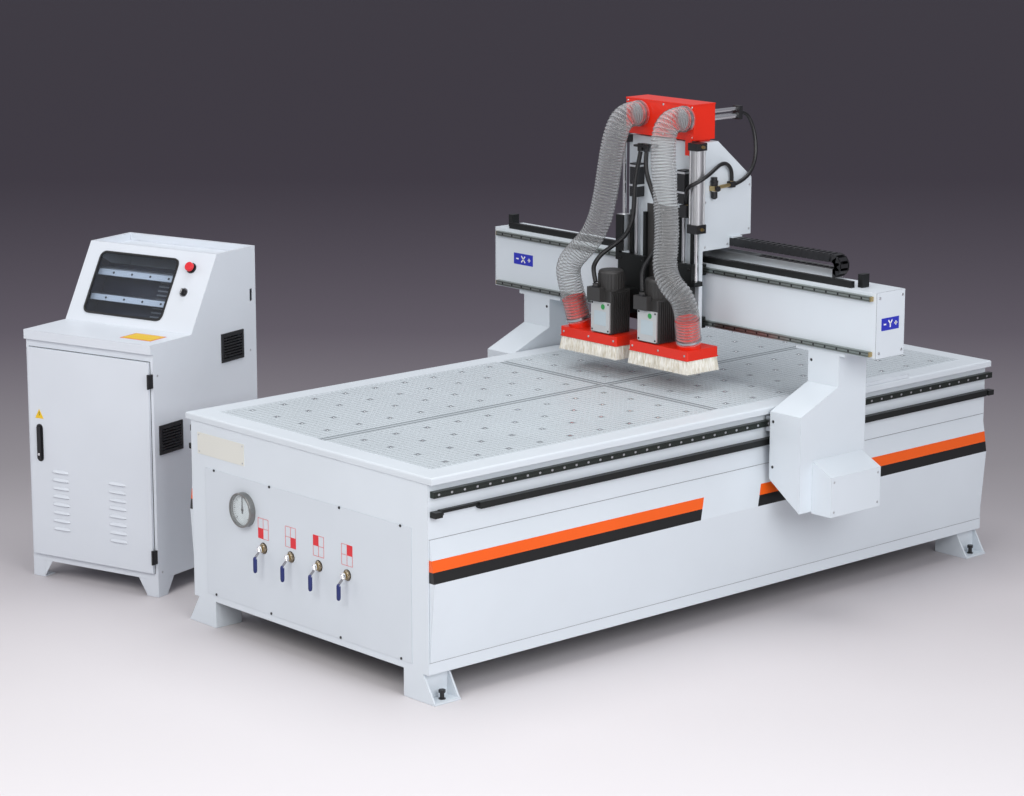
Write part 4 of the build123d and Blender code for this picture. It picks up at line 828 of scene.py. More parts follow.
def finish(node: str, material: bpy.types.Material) -> None:
    """Puts one material on a CAD node and smooths its round faces."""
    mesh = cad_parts[node].data
    mesh.materials.clear()
    mesh.materials.append(material)
    mesh.polygons.foreach_set("use_smooth", [True] * len(mesh.polygons))
    mesh.set_sharp_from_angle(angle=math.radians(35))


@dataclass
class Gantry:
    """The beam, its uprights, the X rails and the drag chain."""

    beam_front: float = 0.385
    beam_half: float = 1.085

    def paint(self) -> None:
        """Gives the gantry's CAD nodes their finishes."""
        for node, look in (
            ("uprights", Look.WHITE), ("gantry_beam", Look.WHITE), ("x_rails", Look.X_RAIL), ("x_rack", Look.DARK_STEEL),
            ("y_bearing_blocks", Look.STEEL), ("y_drives", Look.BLACK), ("chain_tray", Look.ALUMINIUM),
            ("y_pinions", Look.STEEL),
        ):
            finish(node, PAINT.plain(look))

    def rail_details(self) -> None:
        """Screw holes and grooves of the X rails, their end pieces and the rack's teeth."""
        holes = Shape("x_rail_holes", PAINT.plain(Look.BLACK))
        grooves = Shape("x_rail_grooves", PAINT.plain(Look.RAIL))
        ends = Shape("x_rail_ends", PAINT.plain(Look.BRASS))
        teeth = Shape("x_rack_teeth", PAINT.plain(Look.DARK_STEEL))
        front = self.beam_front - 0.0175
        for z in (1.062, 1.276):
            for n in range(35):
                x = -1.02 + 0.06 * n
                holes.rod((x, front + 0.002, z), (x, front - 0.0003, z), 0.0048, 12)
            for dz in (-0.0052, 0.0052):
                grooves.box((-1.059, front - 0.0006, z + dz - 0.001), (1.059, front + 0.001, z + dz + 0.001))
            for side in (-1, 1):
                ends.box((side * 1.0602, front + 0.002, z - 0.009), (side * 1.066, self.beam_front, z + 0.009))
        for n in range(309):
            x = -1.004 + 0.00628 * n
            teeth.prism([(x, 0.4145), (x + 0.0014, 0.4175), (x + 0.0034, 0.4175), (x + 0.0048, 0.4145)], "z", 1.302, 1.324)
        for shape in (holes, grooves, ends, teeth):
            shape.on("gantry")

    def labels(self) -> None:
        """Blue axis plates, each with its generic letter and signs drawn as bars."""
        plates = Shape("axis_plates", PAINT.plain(Look.LABEL_BLUE))
        marks = Shape("axis_marks", PAINT.plain(Look.LABEL_WHITE))
        y = self.beam_front
        cx, cz = -0.905, 1.178
        plates.box((cx - 0.060, y - 0.0010, cz - 0.024), (cx + 0.060, y + 0.0002, cz + 0.024))
        w = 0.0028

        def bar(a, b, level: str, depth: tuple[float, float]):
            a, b = np.array(a), np.array(b)
            along = (b - a) / np.linalg.norm(b - a)
            across = np.array([-along[1], along[0]]) * w
            marks.prism([a - across, b - across, b + across, a + across], level, *depth)

        depth = (y - 0.0016, y - 0.0009)
        bar((cx - 0.012, cz - 0.014), (cx + 0.012, cz + 0.014), "y", depth)
        bar((cx - 0.012, cz + 0.014), (cx + 0.012, cz - 0.014), "y", depth)
        bar((cx - 0.045, cz), (cx - 0.029, cz), "y", depth)
        bar((cx + 0.029, cz), (cx + 0.045, cz), "y", depth)
        bar((cx + 0.037, cz - 0.008), (cx + 0.037, cz + 0.008), "y", depth)
        x, cy, cz = self.beam_half, 0.462, 1.175
        plates.box((x - 0.0002, cy - 0.050, cz - 0.024), (x + 0.0010, cy + 0.050, cz + 0.024))
        depth = (x + 0.0009, x + 0.0016)
        bar((cy, cz - 0.014), (cy, cz), "x", depth)
        bar((cy, cz), (cy - 0.011, cz + 0.014), "x", depth)
        bar((cy, cz), (cy + 0.011, cz + 0.014), "x", depth)
        bar((cy - 0.038, cz), (cy - 0.024, cz), "x", depth)
        bar((cy + 0.024, cz), (cy + 0.040, cz), "x", depth)
        bar((cy + 0.032, cz - 0.008), (cy + 0.032, cz + 0.008), "x", depth)
        plates.on("gantry")
        marks.on("gantry")

    def fasteners(self) -> None:
        """Screws of the beam's end caps, the uprights and the motor covers, and the seams of the beam's end caps."""
        for side in (-1, 1):
            tag = "left" if side < 0 else "right"
            x = side * self.beam_half
            caps = [(x, y, z) for y in (0.400, 0.530) for z in (1.066, 1.279)]
            screws(f"cap_screws_{tag}", Look.STEEL, caps, (side, 0, 0), 0.006, 0.003, "gantry")
            front = [(side * 0.757, 0.175, z) for z in (0.60, 0.78)] + [(side * 0.757, 0.385, 0.995)]
            screws(f"upright_screws_{tag}", Look.BLACK, front, (0, -1, 0), 0.006, 0.003, "gantry")
            cover = [(side * 1.0, y, z) for y in (0.262, 0.513) for z in (0.450, 0.568)]
            screws(f"cover_screws_{tag}", Look.STEEL, cover, (side, 0, 0), 0.005, 0.0025, "gantry")
            edge = Shape(f"beam_cap_seam_{tag}", PAINT.plain(Look.SEAM))
            edge.box((side * 1.0815, 0.3846, 1.0446), (side * 1.0828, 0.5454, 1.3004))
            edge.on("gantry")

    def chain(self) -> None:
        """Draws the drag chain's links: the upper run, and the lower run with the bend, which ride on the chain loop.
        """
        low, high, y0, y1 = 1.319, 1.378, 0.500, 0.555
        upper = Shape("chain_links_upper", PAINT.plain(Look.BLACK))
        lower = Shape("chain_links_lower", PAINT.plain(Look.BLACK))

        def link(shape: Shape, centre: tuple[float, float], turn: float) -> None:
            c, s = math.cos(turn), math.sin(turn)

            def turned(points):
                return [(centre[0] + c * a - s * b, centre[1] + s * a + c * b) for a, b in points]

            half = 0.016
            side = [(-0.0155, -half * 0.9), (-0.013, -half), (0.009, -half), (0.0165, -half * 0.55),
                    (0.0165, half * 0.55), (0.009, half), (-0.013, half), (-0.0155, half * 0.9)]
            for a, b in ((y0, y0 + 0.006), (y1 - 0.006, y1)):
                shape.prism(turned(side), "y", a, b)
            for face in (-1, 1):
                band = [(-0.010, face * (half - 0.004)), (0.006, face * (half - 0.004)), (0.006, face * half), (-0.010, face * half)]
                shape.prism(turned(band), "y", y0 + 0.002, y1 - 0.002)

        pitch = 0.0305
        count = int((0.745 - 0.20) / pitch)
        for n in range(count + 1):
            link(upper, (0.206 + pitch * n, high), 0.0)
        radius = (high - low) / 2
        for turn in (75, 35, 0, -35, -75):
            t = math.radians(turn)
            link(lower, (0.745 + radius * math.cos(t), (low + high) / 2 + radius * math.sin(t)), t - math.pi / 2)
        for n in range(int(0.44 / pitch)):
            link(lower, (0.733 - pitch * n, low), math.pi)
        top = upper.build()
        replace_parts(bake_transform(top), "chain_upper_run")
        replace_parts(lower.on("chain_loop"), "chain_lower_run")

    def build(self) -> None:
        """Builds everything on the gantry."""
        self.paint()
        self.rail_details()
        self.labels()
        self.fasteners()
        self.chain()


@dataclass
class Carriage:
    """The saddle, housing, extraction manifold, cylinder and guide column."""

    top: float = 1.790

    def paint(self) -> None:
        """Gives the carriage's CAD nodes their finishes."""
        for node, look in (
            ("saddle_plate", Look.WHITE), ("carriage_guides", Look.DARK_STEEL), ("rear_housing", Look.WHITE),
            ("carriage_motors", Look.BLACK), ("dust_manifold", Look.RED), ("x_pinion", Look.STEEL),
            ("z_screw_1", Look.STEEL), ("z_screw_2", Look.STEEL), ("balance_rod", Look.CHROME),
        ):
            finish(node, PAINT.plain(look))

    def cylinder(self) -> None:
        """The balance cylinder with its caps and fittings, and the guide column with its bracket."""
        x, y = 0.210, 0.298
        barrel = Shape("cylinder_barrel", PAINT.plain(Look.ALUMINIUM))
        barrel.rod((x, y, 1.470), (x, y, 1.765), 0.0248, 32)
        for dx, dy in ((-1, -1), (1, -1), (1, 1), (-1, 1)):
            barrel.rod((x + dx * 0.020, y + dy * 0.020, 1.470), (x + dx * 0.020, y + dy * 0.020, 1.765), 0.0038, 10)
        caps = Shape("cylinder_caps", PAINT.plain(Look.BLACK))
        for z0, z1 in ((1.435, 1.470), (1.765, 1.795)):
            caps.box((x - 0.027, y - 0.027, z0), (x + 0.027, 0.325, z1))
        caps.box((-0.223, 0.280, 1.760), (-0.181, 0.325, 1.790))
        fittings = Shape("cylinder_fittings", PAINT.plain(Look.BRASS))
        for z in (1.452, 1.780):
            fittings.lathe([(0, 0.007), (0.006, 0.007), (0.006, 0.0055), (0.012, 0.0055)], (x + 0.0268, y, z), (1, 0, 0), 12)
        column = Shape("guide_column", PAINT.plain(Look.CHROME))
        column.rod((-0.202, 0.300, 1.335), (-0.202, 0.300, 1.762), 0.0085, 24, 0.001)
        for shape in (caps, fittings, column):
            shape.on("carriage")
        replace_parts(barrel.on("carriage"), "balance_cylinder")

    def air(self) -> None:
        """The chrome pipes behind the manifold, the regulator on the housing and the valve block."""
        pipes = Shape("air_pipes", PAINT.plain(Look.CHROME))
        pipes.rod((0.170, 0.415, 1.880), (0.170, 0.555, 1.880), 0.011, 24)
        pipes.rod((0.170, 0.415, 1.906), (0.170, 0.555, 1.906), 0.008, 24)
        pipes.rod((0.214, 0.392, 1.580), (0.214, 0.392, 1.634), 0.0088, 24, 0.001)
        blocks = Shape("air_blocks", PAINT.plain(Look.BLACK))
        blocks.box((0.152, 0.555, 1.864), (0.188, 0.575, 1.918))
        blocks.rod((0.214, 0.392, 1.630), (0.214, 0.392, 1.644), 0.012, 20, 0.002)
        blocks.rod((0.214, 0.392, 1.570), (0.214, 0.392, 1.584), 0.012, 20, 0.002)
        blocks.box((0.146, 0.265, 1.495), (0.180, 0.325, 1.544))
        blocks.box((0.200, 0.478, 1.600), (0.222, 0.506, 1.624))
        brass = Shape("air_nuts", PAINT.plain(Look.BRASS))
        brass.lathe([(0, 0.009), (0.012, 0.009)], (0.200, 0.392, 1.606), (1, 0, 0), 6)
        brass.box((0.203, 0.376, 1.596), (0.232, 0.410, 1.616))
        brass.rod((0.214, 0.410, 1.607), (0.214, 0.478, 1.611), 0.0075, 14)
        blocks.lathe([(0, 0.014), (0.020, 0.016), (0.022, 0.012), (0.034, 0.012)], (0.214, 0.392, 1.616), (0, 0, 1), 18)
        blocks.lathe([(0, 0.006), (0.006, 0.013), (0.030, 0.013)], (0.214, 0.392, 1.562), (0, 0, 1), 18)
        blocks.lathe([(0, 0.005), (0.008, 0.011), (0.014, 0.011)], (0.232, 0.384, 1.607), (1, 0, 0), 18)
        brass.lathe([(0, 0.0075), (0.010, 0.0075)], (0.213, 0.492, 1.620), (0, 0, 1), 6)
        brass.lathe([(0, 0.0075), (0.010, 0.0075)], (0.166, 0.287, 1.541), (0, 0, 1), 6)
        pipes.on("carriage")
        brass.on("carriage")
        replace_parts(blocks.on("carriage"), "air_fittings")

    def details(self) -> None:
        """Screws of the manifold, housing and saddle, the Z motors' plates, a dark strip on the saddle and the
        manifold's edge.
        """
        front = [(x, 0.295, z) for x in (-0.180, 0.180) for z in (1.812, 1.931)] + [(0.02, 0.295, 1.931), (0.02, 0.295, 1.812)]
        screws("manifold_screws", Look.STEEL, front, (0, -1, 0), 0.005, 0.003, "carriage")
        side = [(0.200, y, z) for y, z in ((0.356, 1.370), (0.356, 1.55), (0.356, 1.775), (0.485, 1.370), (0.608, 1.42), (0.608, 1.60))]
        screws("housing_screws", Look.STEEL, side, (1, 0, 0), 0.005, 0.0025, "carriage")
        plate = [(0.0, 0.3236, z) for z in (1.07, 1.21, 1.36, 1.50)]
        screws("saddle_screws", Look.STEEL, plate, (0, -1, 0), 0.0055, 0.004, "carriage")
        flanges = Shape("z_motor_plates", PAINT.plain(Look.ALUMINIUM))
        for x in (-0.134, 0.134):
            flanges.box((x - 0.0225, 0.2815, 1.5870), (x + 0.0225, 0.3249, 1.5950))
            flanges.box((x - 0.0225, 0.2815, 1.6660), (x + 0.0225, 0.3249, 1.6740))
        flanges.on("carriage")
        # A thin dark grey strip over the saddle's front, from 1.05 to 1.52 m up, below the Z motors.
        dark = Shape("saddle_dark_strip", PAINT.plain(Look.GREY))
        dark.box((-0.094, 0.3236, 1.050), (0.094, 0.3251, 1.520))
        dark.on("carriage")
        tab = Shape("manifold_edge", PAINT.plain(Look.RED))
        tab.box((-0.1915, 0.2935, 1.9380), (0.1915, 0.4165, 1.9428))
        tab.on("carriage")

    def build(self) -> None:
        """Builds everything on the carriage."""
        self.paint()
        self.cylinder()
        self.air()
        self.details()


@dataclass
class Head:
    """One vertical head: spindle, dust hood, brush, hose and cable."""

    number: int
    side: int
    hose_route: tuple
    cable_route: tuple

    @property
    def body(self) -> str:
        """The CAD body that the head's pieces ride on."""
        return f"head_{self.number}"

    @property
    def x(self) -> float:
        """The spindle's place across the bed."""
        return self.side * 0.134

    def paint(self) -> None:
        """Gives the head's CAD nodes their finishes."""
        n = self.number
        finish(f"head_plate_{n}", PAINT.plain(Look.DARK_STEEL))
        finish(f"spindle_body_{n}", PAINT.plain(Look.GREY))
        finish(f"spindle_rotor_{n}", PAINT.plain(Look.STEEL))
        finish(f"dust_hood_{n}", PAINT.plain(Look.RED))

    def spindle(self) -> None:
        """Cooling fins, the pale front plate with its stickers, and the cap's ribs."""
        n, x = self.number, self.x
        fins = Shape(f"spindle_fins_{n}", PAINT.plain(Look.GREY))
        for side in (-1, 1):
            for k in range(9):
                y = 0.118 + 0.0112 * k
                fins.box((x + side * 0.0548, y - 0.0016, 1.014), (x + side * 0.0600, y + 0.0016, 1.176))
        for k in range(24):
            turn = 2 * math.pi * k / 24
            cx, cy = x + 0.0518 * math.cos(turn), 0.163 + 0.0518 * math.sin(turn)
            fins.rod((cx, cy, 1.186), (cx, cy, 1.246), 0.0022, 6)
        fins.on(self.body)
        plate = Shape(f"spindle_plate_{n}", PAINT.plain(Look.PLATE))
        plate.prism([(x - 0.050, 1.012), (x + 0.050, 1.012), (x + 0.053, 1.016), (x + 0.053, 1.136),
                     (x - 0.053, 1.136), (x - 0.053, 1.016)], "y", 0.1020, 0.1082)
        plate.on(self.body)
        label = Shape(f"spindle_label_{n}", PAINT.plain(Look.STICKER))
        label.box((x - 0.034, 0.1012, 1.040), (x + 0.034, 0.1021, 1.098))
        label.on(self.body)
        dot = Shape(f"spindle_dot_{n}", PAINT.plain(Look.GREEN))
        dot.rod((x + 0.016, 0.1013, 1.117), (x + 0.016, 0.1021, 1.117), 0.011, 24)
        dot.on(self.body)
        places = [(x + dx, 0.102, z) for dx in (-0.046, 0.046) for z in (1.020, 1.129)]
        screws(f"spindle_screws_{n}", Look.BLACK, places, (0, -1, 0), 0.0042, 0.003, self.body)
        gland = Shape(f"spindle_gland_{n}", PAINT.plain(Look.BLACK))
        gland.lathe([(0, 0.0150), (0.006, 0.0150), (0.007, 0.013), (0.013, 0.012)], (x - 0.018, 0.094, 1.195), (0, 0, 1), 8)
        gland.on(self.body)
        if n == 1:
            bush = Shape("guide_bush", PAINT.plain(Look.ALUMINIUM))
            bush.box((-0.2236, 0.2784, 1.3174), (-0.1804, 0.3216, 1.4656))
            bush.on(self.body)
        bolts = [(x + dx, 0.272, z) for dx in (-0.062, 0.062) for z in (1.07, 1.19, 1.29)]
        screws(f"plate_screws_{n}", Look.DARK_STEEL, bolts, (0, -1, 0), 0.0055, 0.005, self.body)

    def brush(self) -> None:
        """Bristles round the hood: each is a thin tapered blade that leans outward, long and short ones mixed."""
        rng = np.random.default_rng(20 + self.number)
        x0, x1 = sorted((self.side * 0.037, self.side * 0.364))
        y0, y1, top = 0.100, 0.270, 0.9665
        material = PAINT.bristle()
        core = Shape(f"brush_core_{self.number}", material)
        blades = Shape(f"brush_blades_{self.number}", material)
        cx, cy = (x0 + x1) / 2, (y0 + y1) / 2
        edges = []
        for a, b, out in (((x0, y0), (x1, y0), (0, -1)), ((x1, y0), (x1, y1), (1, 0)),
                          ((x1, y1), (x0, y1), (0, 1)), ((x0, y1), (x0, y0), (-1, 0))):
            edges.append((np.array(a), np.array(b), np.array(out, float)))
        for a, b, out in edges:
            along = (b - a) / np.linalg.norm(b - a)
            inward = -out
            top_a, top_b = a + inward * 0.004 + along * 0.003, b + inward * 0.004 - along * 0.003
            low_a, low_b = a + out * 0.004 - along * 0.004, b + out * 0.004 + along * 0.004
            deep = inward * 0.010
            points = [(*top_a, top), (*top_b, top), (*(top_b + deep - along * 0.010), top), (*(top_a + deep + along * 0.010), top),
                      (*low_a, 0.912), (*low_b, 0.912), (*(low_b + deep - along * 0.010), 0.912), (*(low_a + deep + along * 0.010), 0.912)]
            core.shell(points, [[0, 1, 2, 3], [4, 5, 6, 7], [0, 1, 5, 4], [1, 2, 6, 5], [2, 3, 7, 6], [3, 0, 4, 7]])
            length = np.linalg.norm(b - a)
            for _ in range(int(length / 0.00095)):
                t, depth = rng.uniform(0.004, length - 0.004), rng.uniform(0.0, 0.007)
                root = a + along * t + inward * (0.002 + depth)
                fan = (t / length - 0.5) * 0.012
                tip = root + out * (0.011 - depth * 0.4 + rng.normal(0, 0.0014)) + along * (fan + rng.normal(0, 0.0014))
                end = 0.9052 + abs(rng.normal(0, 0.0028))
                half = along * rng.uniform(0.0008, 0.0013)
                thick = out * 0.0006
                r0 = [(*(root - half - thick), top), (*(root + half - thick), top), (*(root + thick), top)]
                middle = root * 0.62 + tip * 0.38
                m0 = [(*(middle - half - thick), 0.937), (*(middle + half - thick), 0.937), (*(middle + thick), 0.937)]
                blades.shell([*r0, *m0, (*tip, end)], [[0, 2, 1], [0, 1, 4, 3], [1, 2, 5, 4], [2, 0, 3, 5], [3, 4, 6], [4, 5, 6], [5, 3, 6]])
        core.on(self.body)
        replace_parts(blades.on(self.body, 60), f"brush_skirt_{self.number}")

    def hood(self) -> None:
        """The hood's screws and its lower lip."""
        n, s = self.number, self.side
        front = [(s * x, 0.100, 0.985) for x in (0.055, 0.200, 0.346)]
        screws(f"hood_screws_{n}", Look.STEEL, front, (0, -1, 0), 0.005, 0.003, self.body)
        lip = Shape(f"hood_lip_{n}", PAINT.plain(Look.RED))
        x0, x1 = sorted((s * 0.0358, s * 0.3652))
        for low, high in (((x0, 0.0988, 0.9650), (x1, 0.1002, 0.9690)), ((x0, 0.2698, 0.9650), (x1, 0.2712, 0.9690))):
            lip.box(low, high)
        lip.on(self.body)

    def hose(self) -> None:
        """The clear hose: ring radius 47 + 2.5 sin(2 pi s / 12) mm, with a wire wound in its valleys."""
        n = self.number
        route = np.array(self.hose_route) / 1000
        path = eased(route, 0.0024)
        run = np.linspace(0, length_of(path), len(path))
        pitch = 0.0125
        radii = 0.0476 + 0.0022 * np.cos(2 * math.pi * run / pitch)
        skin = Shape(f"dust_hose_skin_{n}", PAINT.clear("ClearHose", (0.90, 0.90, 0.89), 0.08, 0.58))
        skin.tube(path, radii, 30)
        skin.faces = skin.faces[:-2]
        hose = skin.build(80)
        normals, binormals = carried_frame(path)
        turns = int(run[-1] / pitch)
        steps = np.linspace(0.2 / turns, 1 - 0.2 / turns, turns * 22)
        at = steps * (len(path) - 1)
        low = np.clip(at.astype(int), 0, len(path) - 2)
        part = (at - low)[:, None]

        def between(rows: np.ndarray) -> np.ndarray:
            return rows[low] * (1 - part) + rows[low + 1] * part

        angle = (2 * math.pi * steps * turns)[:, None]
        helix = between(path) + 0.0494 * (np.cos(angle) * between(normals) + np.sin(angle) * between(binormals))
        wire = Shape(f"dust_hose_wire_{n}", PAINT.plain(Look.WIRE))
        wire.tube(helix, 0.0011, 5)
        coil = wire.build(80)
        for piece in (hose, coil):
            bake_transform(piece)
        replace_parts(hose, f"dust_hose_{n}")
        self.sleeves(path)
        clamp = Shape(f"manifold_clamp_{n}", PAINT.plain(Look.STEEL))
        port_x = path[0][0]
        clamp.lathe([(0, 0.0510), (0, 0.0522), (0.009, 0.0522), (0.009, 0.0510)], (port_x, 0.2760, 1.885), (0, 1, 0), 40)
        clamp.on("carriage")
        axis = Vector((self.side * 0.12, -0.25, 1)).normalized()
        base = Vector((self.side * 0.310, 0.165, 0.999)) + axis * 0.040
        cuff = Shape(f"hood_clamp_{n}", PAINT.plain(Look.STEEL))
        cuff.lathe([(0, 0.0510), (0, 0.0522), (0.009, 0.0522), (0.009, 0.0510)], base, axis, 40)
        cuff.on(self.body)

    def sleeves(self, path: np.ndarray) -> None:
        """The hose's ends, pushed over the manifold's port and the hood's port."""
        n = self.number
        axis = Vector((self.side * 0.12, -0.25, 1)).normalized()
        foot = Vector((self.side * 0.310, 0.165, 0.999)) + axis * 0.0315
        ends = (
            ("top", "carriage", Vector((path[0][0], 0.2925, 1.885)), Vector(path[0])),
            ("low", self.body, foot, Vector(path[-1])),
        )
        for tag, body, start, stop in ends:
            steps = np.linspace(0, 1, 90)[:, None]
            line = np.array(start) * (1 - steps) + np.array(stop) * steps
            run = np.linspace(0, (stop - start).length, 90)
            skin = Shape(f"hose_sleeve_{tag}_{n}", PAINT.clear("ClearHose", (0.90, 0.90, 0.89), 0.08, 0.58))
            skin.tube(line, 0.0496 + 0.0014 * np.cos(2 * math.pi * run / 0.0125), 30)
            skin.faces = skin.faces[:-2]
            skin.on(body, 80)
            turns = max(1, round(run[-1] / 0.0125))
            t = np.linspace(0, 1, turns * 20)
            u, v = carried_frame(line)
            angle = 2 * math.pi * turns * t[:, None]
            spot = np.array(start) + np.outer(t, np.array(stop - start))
            coil = Shape(f"hose_sleeve_wire_{tag}_{n}", PAINT.plain(Look.WIRE))
            coil.tube(spot + 0.0500 * (np.cos(angle) * u[0] + np.sin(angle) * v[0]), 0.0011, 5)
            coil.on(body, 80)

    def cable(self) -> None:
        """The ribbed black conduit from the gland bracket to the spindle's connector."""
        n = self.number
        path = eased(np.array(self.cable_route) / 1000, 0.0018)
        run = np.linspace(0, length_of(path), len(path))
        radii = 0.0092 + 0.0007 * np.cos(2 * math.pi * run / 0.0055)
        tube = Shape(f"spindle_conduit_{n}", PAINT.plain(Look.RUBBER))
        tube.tube(path, radii, 14)
        cable = tube.build(80)
        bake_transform(cable)
        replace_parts(cable, f"spindle_cable_{n}")

    def build(self) -> None:
        """Builds the head."""
        self.paint()
        self.spindle()
        self.brush()
        self.hood()
        self.hose()
        self.cable()


@dataclass
class AirTube:
    """A plain black air tube on the carriage."""

    number: int
    route: tuple

    def build(self) -> None:
        points = [BED_CENTRE + Vector(p) / 1000 for p in self.route]
        data = bpy.data.curves.new(f"air_hose_{self.number}", "CURVE")
        data.dimensions = "3D"
        data.bevel_depth = 0.008
        data.bevel_resolution = 4
        data.use_fill_caps = True
        data.resolution_u = 12
        spline = data.splines.new("NURBS")
        spline.points.add(len(points) - 1)
        for point, at in zip(spline.points, points):
            point.co = (*at, 1)
        spline.order_u = 3
        spline.use_endpoint_u = True
        data.materials.append(PAINT.plain(Look.RUBBER))
        made = bpy.data.objects.new(f"air_hose_{self.number}", data)
        bpy.context.scene.collection.objects.link(made)
        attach(made, "carriage")
        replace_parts(made, f"air_tube_{self.number}")


@dataclass
class ControlCabinet:
    """The free-standing cabinet, drawn with its front right corner at its own origin."""

    width: float = 0.649
    depth: float = 0.692

    def paint(self) -> None:
        """Gives the cabinet's CAD nodes their finishes."""
        for node, look in (
            ("cabinet_shell", Look.CABINET), ("cabinet_door", Look.CABINET), ("door_handle", Look.BLACK),
            ("cabinet_trim", Look.BLACK), ("electronics_rack", Look.ALUMINIUM), ("stop_button", Look.LABEL_RED),
            ("switch_knob", Look.BLACK),
        ):
            finish(node, PAINT.plain(look))
        finish("console_window", PAINT.clear("Window", (0.86, 0.89, 0.93), 0.01, 0.07))

    def louvres(self) -> None:
        """Two columns of pressed louvres on the door, each a half lens with a black strip of painted shade for its
        mouth below.
        """
        shape = Shape("door_louvres", PAINT.plain(Look.CABINET), CABINET)
        shade = Shape("door_louvre_mouth_shade", PAINT.plain(Look.BLACK), CABINET)
        for x0, x1, low, high in ((-0.524, -0.434, 0.215, 0.452), (-0.233, -0.140, 0.206, 0.441)):
            for n in range(8):
                z = low + (high - low) * n / 7
                u = np.linspace(0, 1, 13)
                swell = np.sqrt(np.clip(1 - (2 * u - 1) ** 4, 0, 1))
                top = np.column_stack([x0 + (x1 - x0) * u, np.full(13, 0.0003), z + 0.012 * swell])
                lip = np.column_stack([x0 + (x1 - x0) * u, -0.0075 * swell, np.full(13, z)])
                back = np.column_stack([x0 + (x1 - x0) * u, np.full(13, 0.0003), np.full(13, z)])
                rows = np.vstack([top, lip, back])
                faces = [[i, i + 1, i + 14, i + 13] for i in range(12)] + [[i + 13, i + 14, i + 27, i + 26] for i in range(12)]
                faces += [[i + 26, i + 27, i + 1, i] for i in range(12)]
                shape.shell(rows, faces)
                # A thin black strip under each louvre is painted shade in its mouth.
                shade.box((x0 + 0.006, -0.0004, z - 0.0022), (x1 - 0.006, 0.0002, z))
        shape.on("door", 50)
        shade.on("door")

    def door_trim(self) -> None:
        """The handle's cup, the small lock and the plain warning triangle."""
        cup = Shape("handle_cup", PAINT.plain(Look.BLACK), CABINET)
        turn = np.linspace(0, math.pi, 13)
        top = [(-0.580 + 0.0165 * math.cos(t), 0.628 + 0.0165 * math.sin(t)) for t in turn]
        foot = [(-0.580 - 0.0165 * math.cos(t), 0.506 - 0.0165 * math.sin(t)) for t in turn]
        cup.prism(top + foot, "y", -0.0022, 0.0003)
        cup.on("door")
        gap = Shape("door_gap", PAINT.plain(Look.RUBBER), CABINET)
        gap.ring((-0.6355, 0.0955), (-0.0135, 0.9595), 0.004, 0.0022, -0.0006, 0.0005, axis="y", base=0.0142)
        gap.on("base")
        sheet = Shape("desk_label", PAINT.plain(Look.YELLOW), CABINET)
        sheet.box((-0.205, 0.075, 1.0272), (-0.060, 0.170, 1.0284))
        sheet.on("base")
        border = Shape("desk_label_edge", PAINT.plain(Look.LABEL_RED), CABINET)
        border.box((-0.210, 0.070, 1.0272), (-0.055, 0.175, 1.0280))
        border.on("base")
        lock = Shape("door_lock", PAINT.plain(Look.CHROME), CABINET)
        lock.rod((-0.580, -0.0110, 0.520), (-0.580, -0.0125, 0.520), 0.0055, 20, 0.0005)
        lock.on("door")
        sign = Shape("warning_sign", PAINT.plain(Look.YELLOW), CABINET)
        sign.prism([(-0.602, 0.668), (-0.558, 0.668), (-0.580, 0.706)], "y", -0.0009, 0.0002)
        sign.on("door")
        mark = Shape("warning_mark", PAINT.plain(Look.BLACK), CABINET)
        mark.prism([(-0.5815, 0.678), (-0.5765, 0.686), (-0.5795, 0.686), (-0.5780, 0.698), (-0.5840, 0.688), (-0.5805, 0.688)], "y", -0.0013, -0.0008)
        mark.on("door")
        pins = Shape("hinge_pins", PAINT.plain(Look.BLACK), CABINET)
        for z in (0.140, 0.855):
            pins.rod((-0.0085, -0.0095, z - 0.002), (-0.0085, -0.0095, z + 0.057), 0.0048, 14, 0.001)
        pins.on("base")

    def console(self) -> None:
        """The window's seal, the holed rails and the louvred back seen through it, with the back and the holes painted
        dark as shade, and the control plate.
        """
        x0, x1, y0, y1 = -0.572, -0.172, -0.307, -0.041
        seal = Shape("window_seal", PAINT.plain(Look.RUBBER), SLOPE)
        seal.ring((x0 - 0.004, y0 - 0.004), (x1 + 0.004, y1 + 0.004), 0.030, 0.009, -0.0006, 0.0035)
        seal.on("base")
        rails = Shape("console_rails", PAINT.plain(Look.WHITE), SLOPE)
        # Flat black discs on the rails are painted shade where the holes are.
        dark = Shape("console_hole_shade", PAINT.plain(Look.BLACK), SLOPE)
        for y in (-0.115, -0.225):
            rails.box((x0 - 0.02, y - 0.013, -0.045), (x1 + 0.02, y + 0.013, -0.038))
            for n in range(4):
                x = x0 + 0.060 + n * 0.095
                dark.rod((x, y, -0.0378), (x, y, -0.0372), 0.0050, 12)
        rails.on("base")
        dark.on("base")
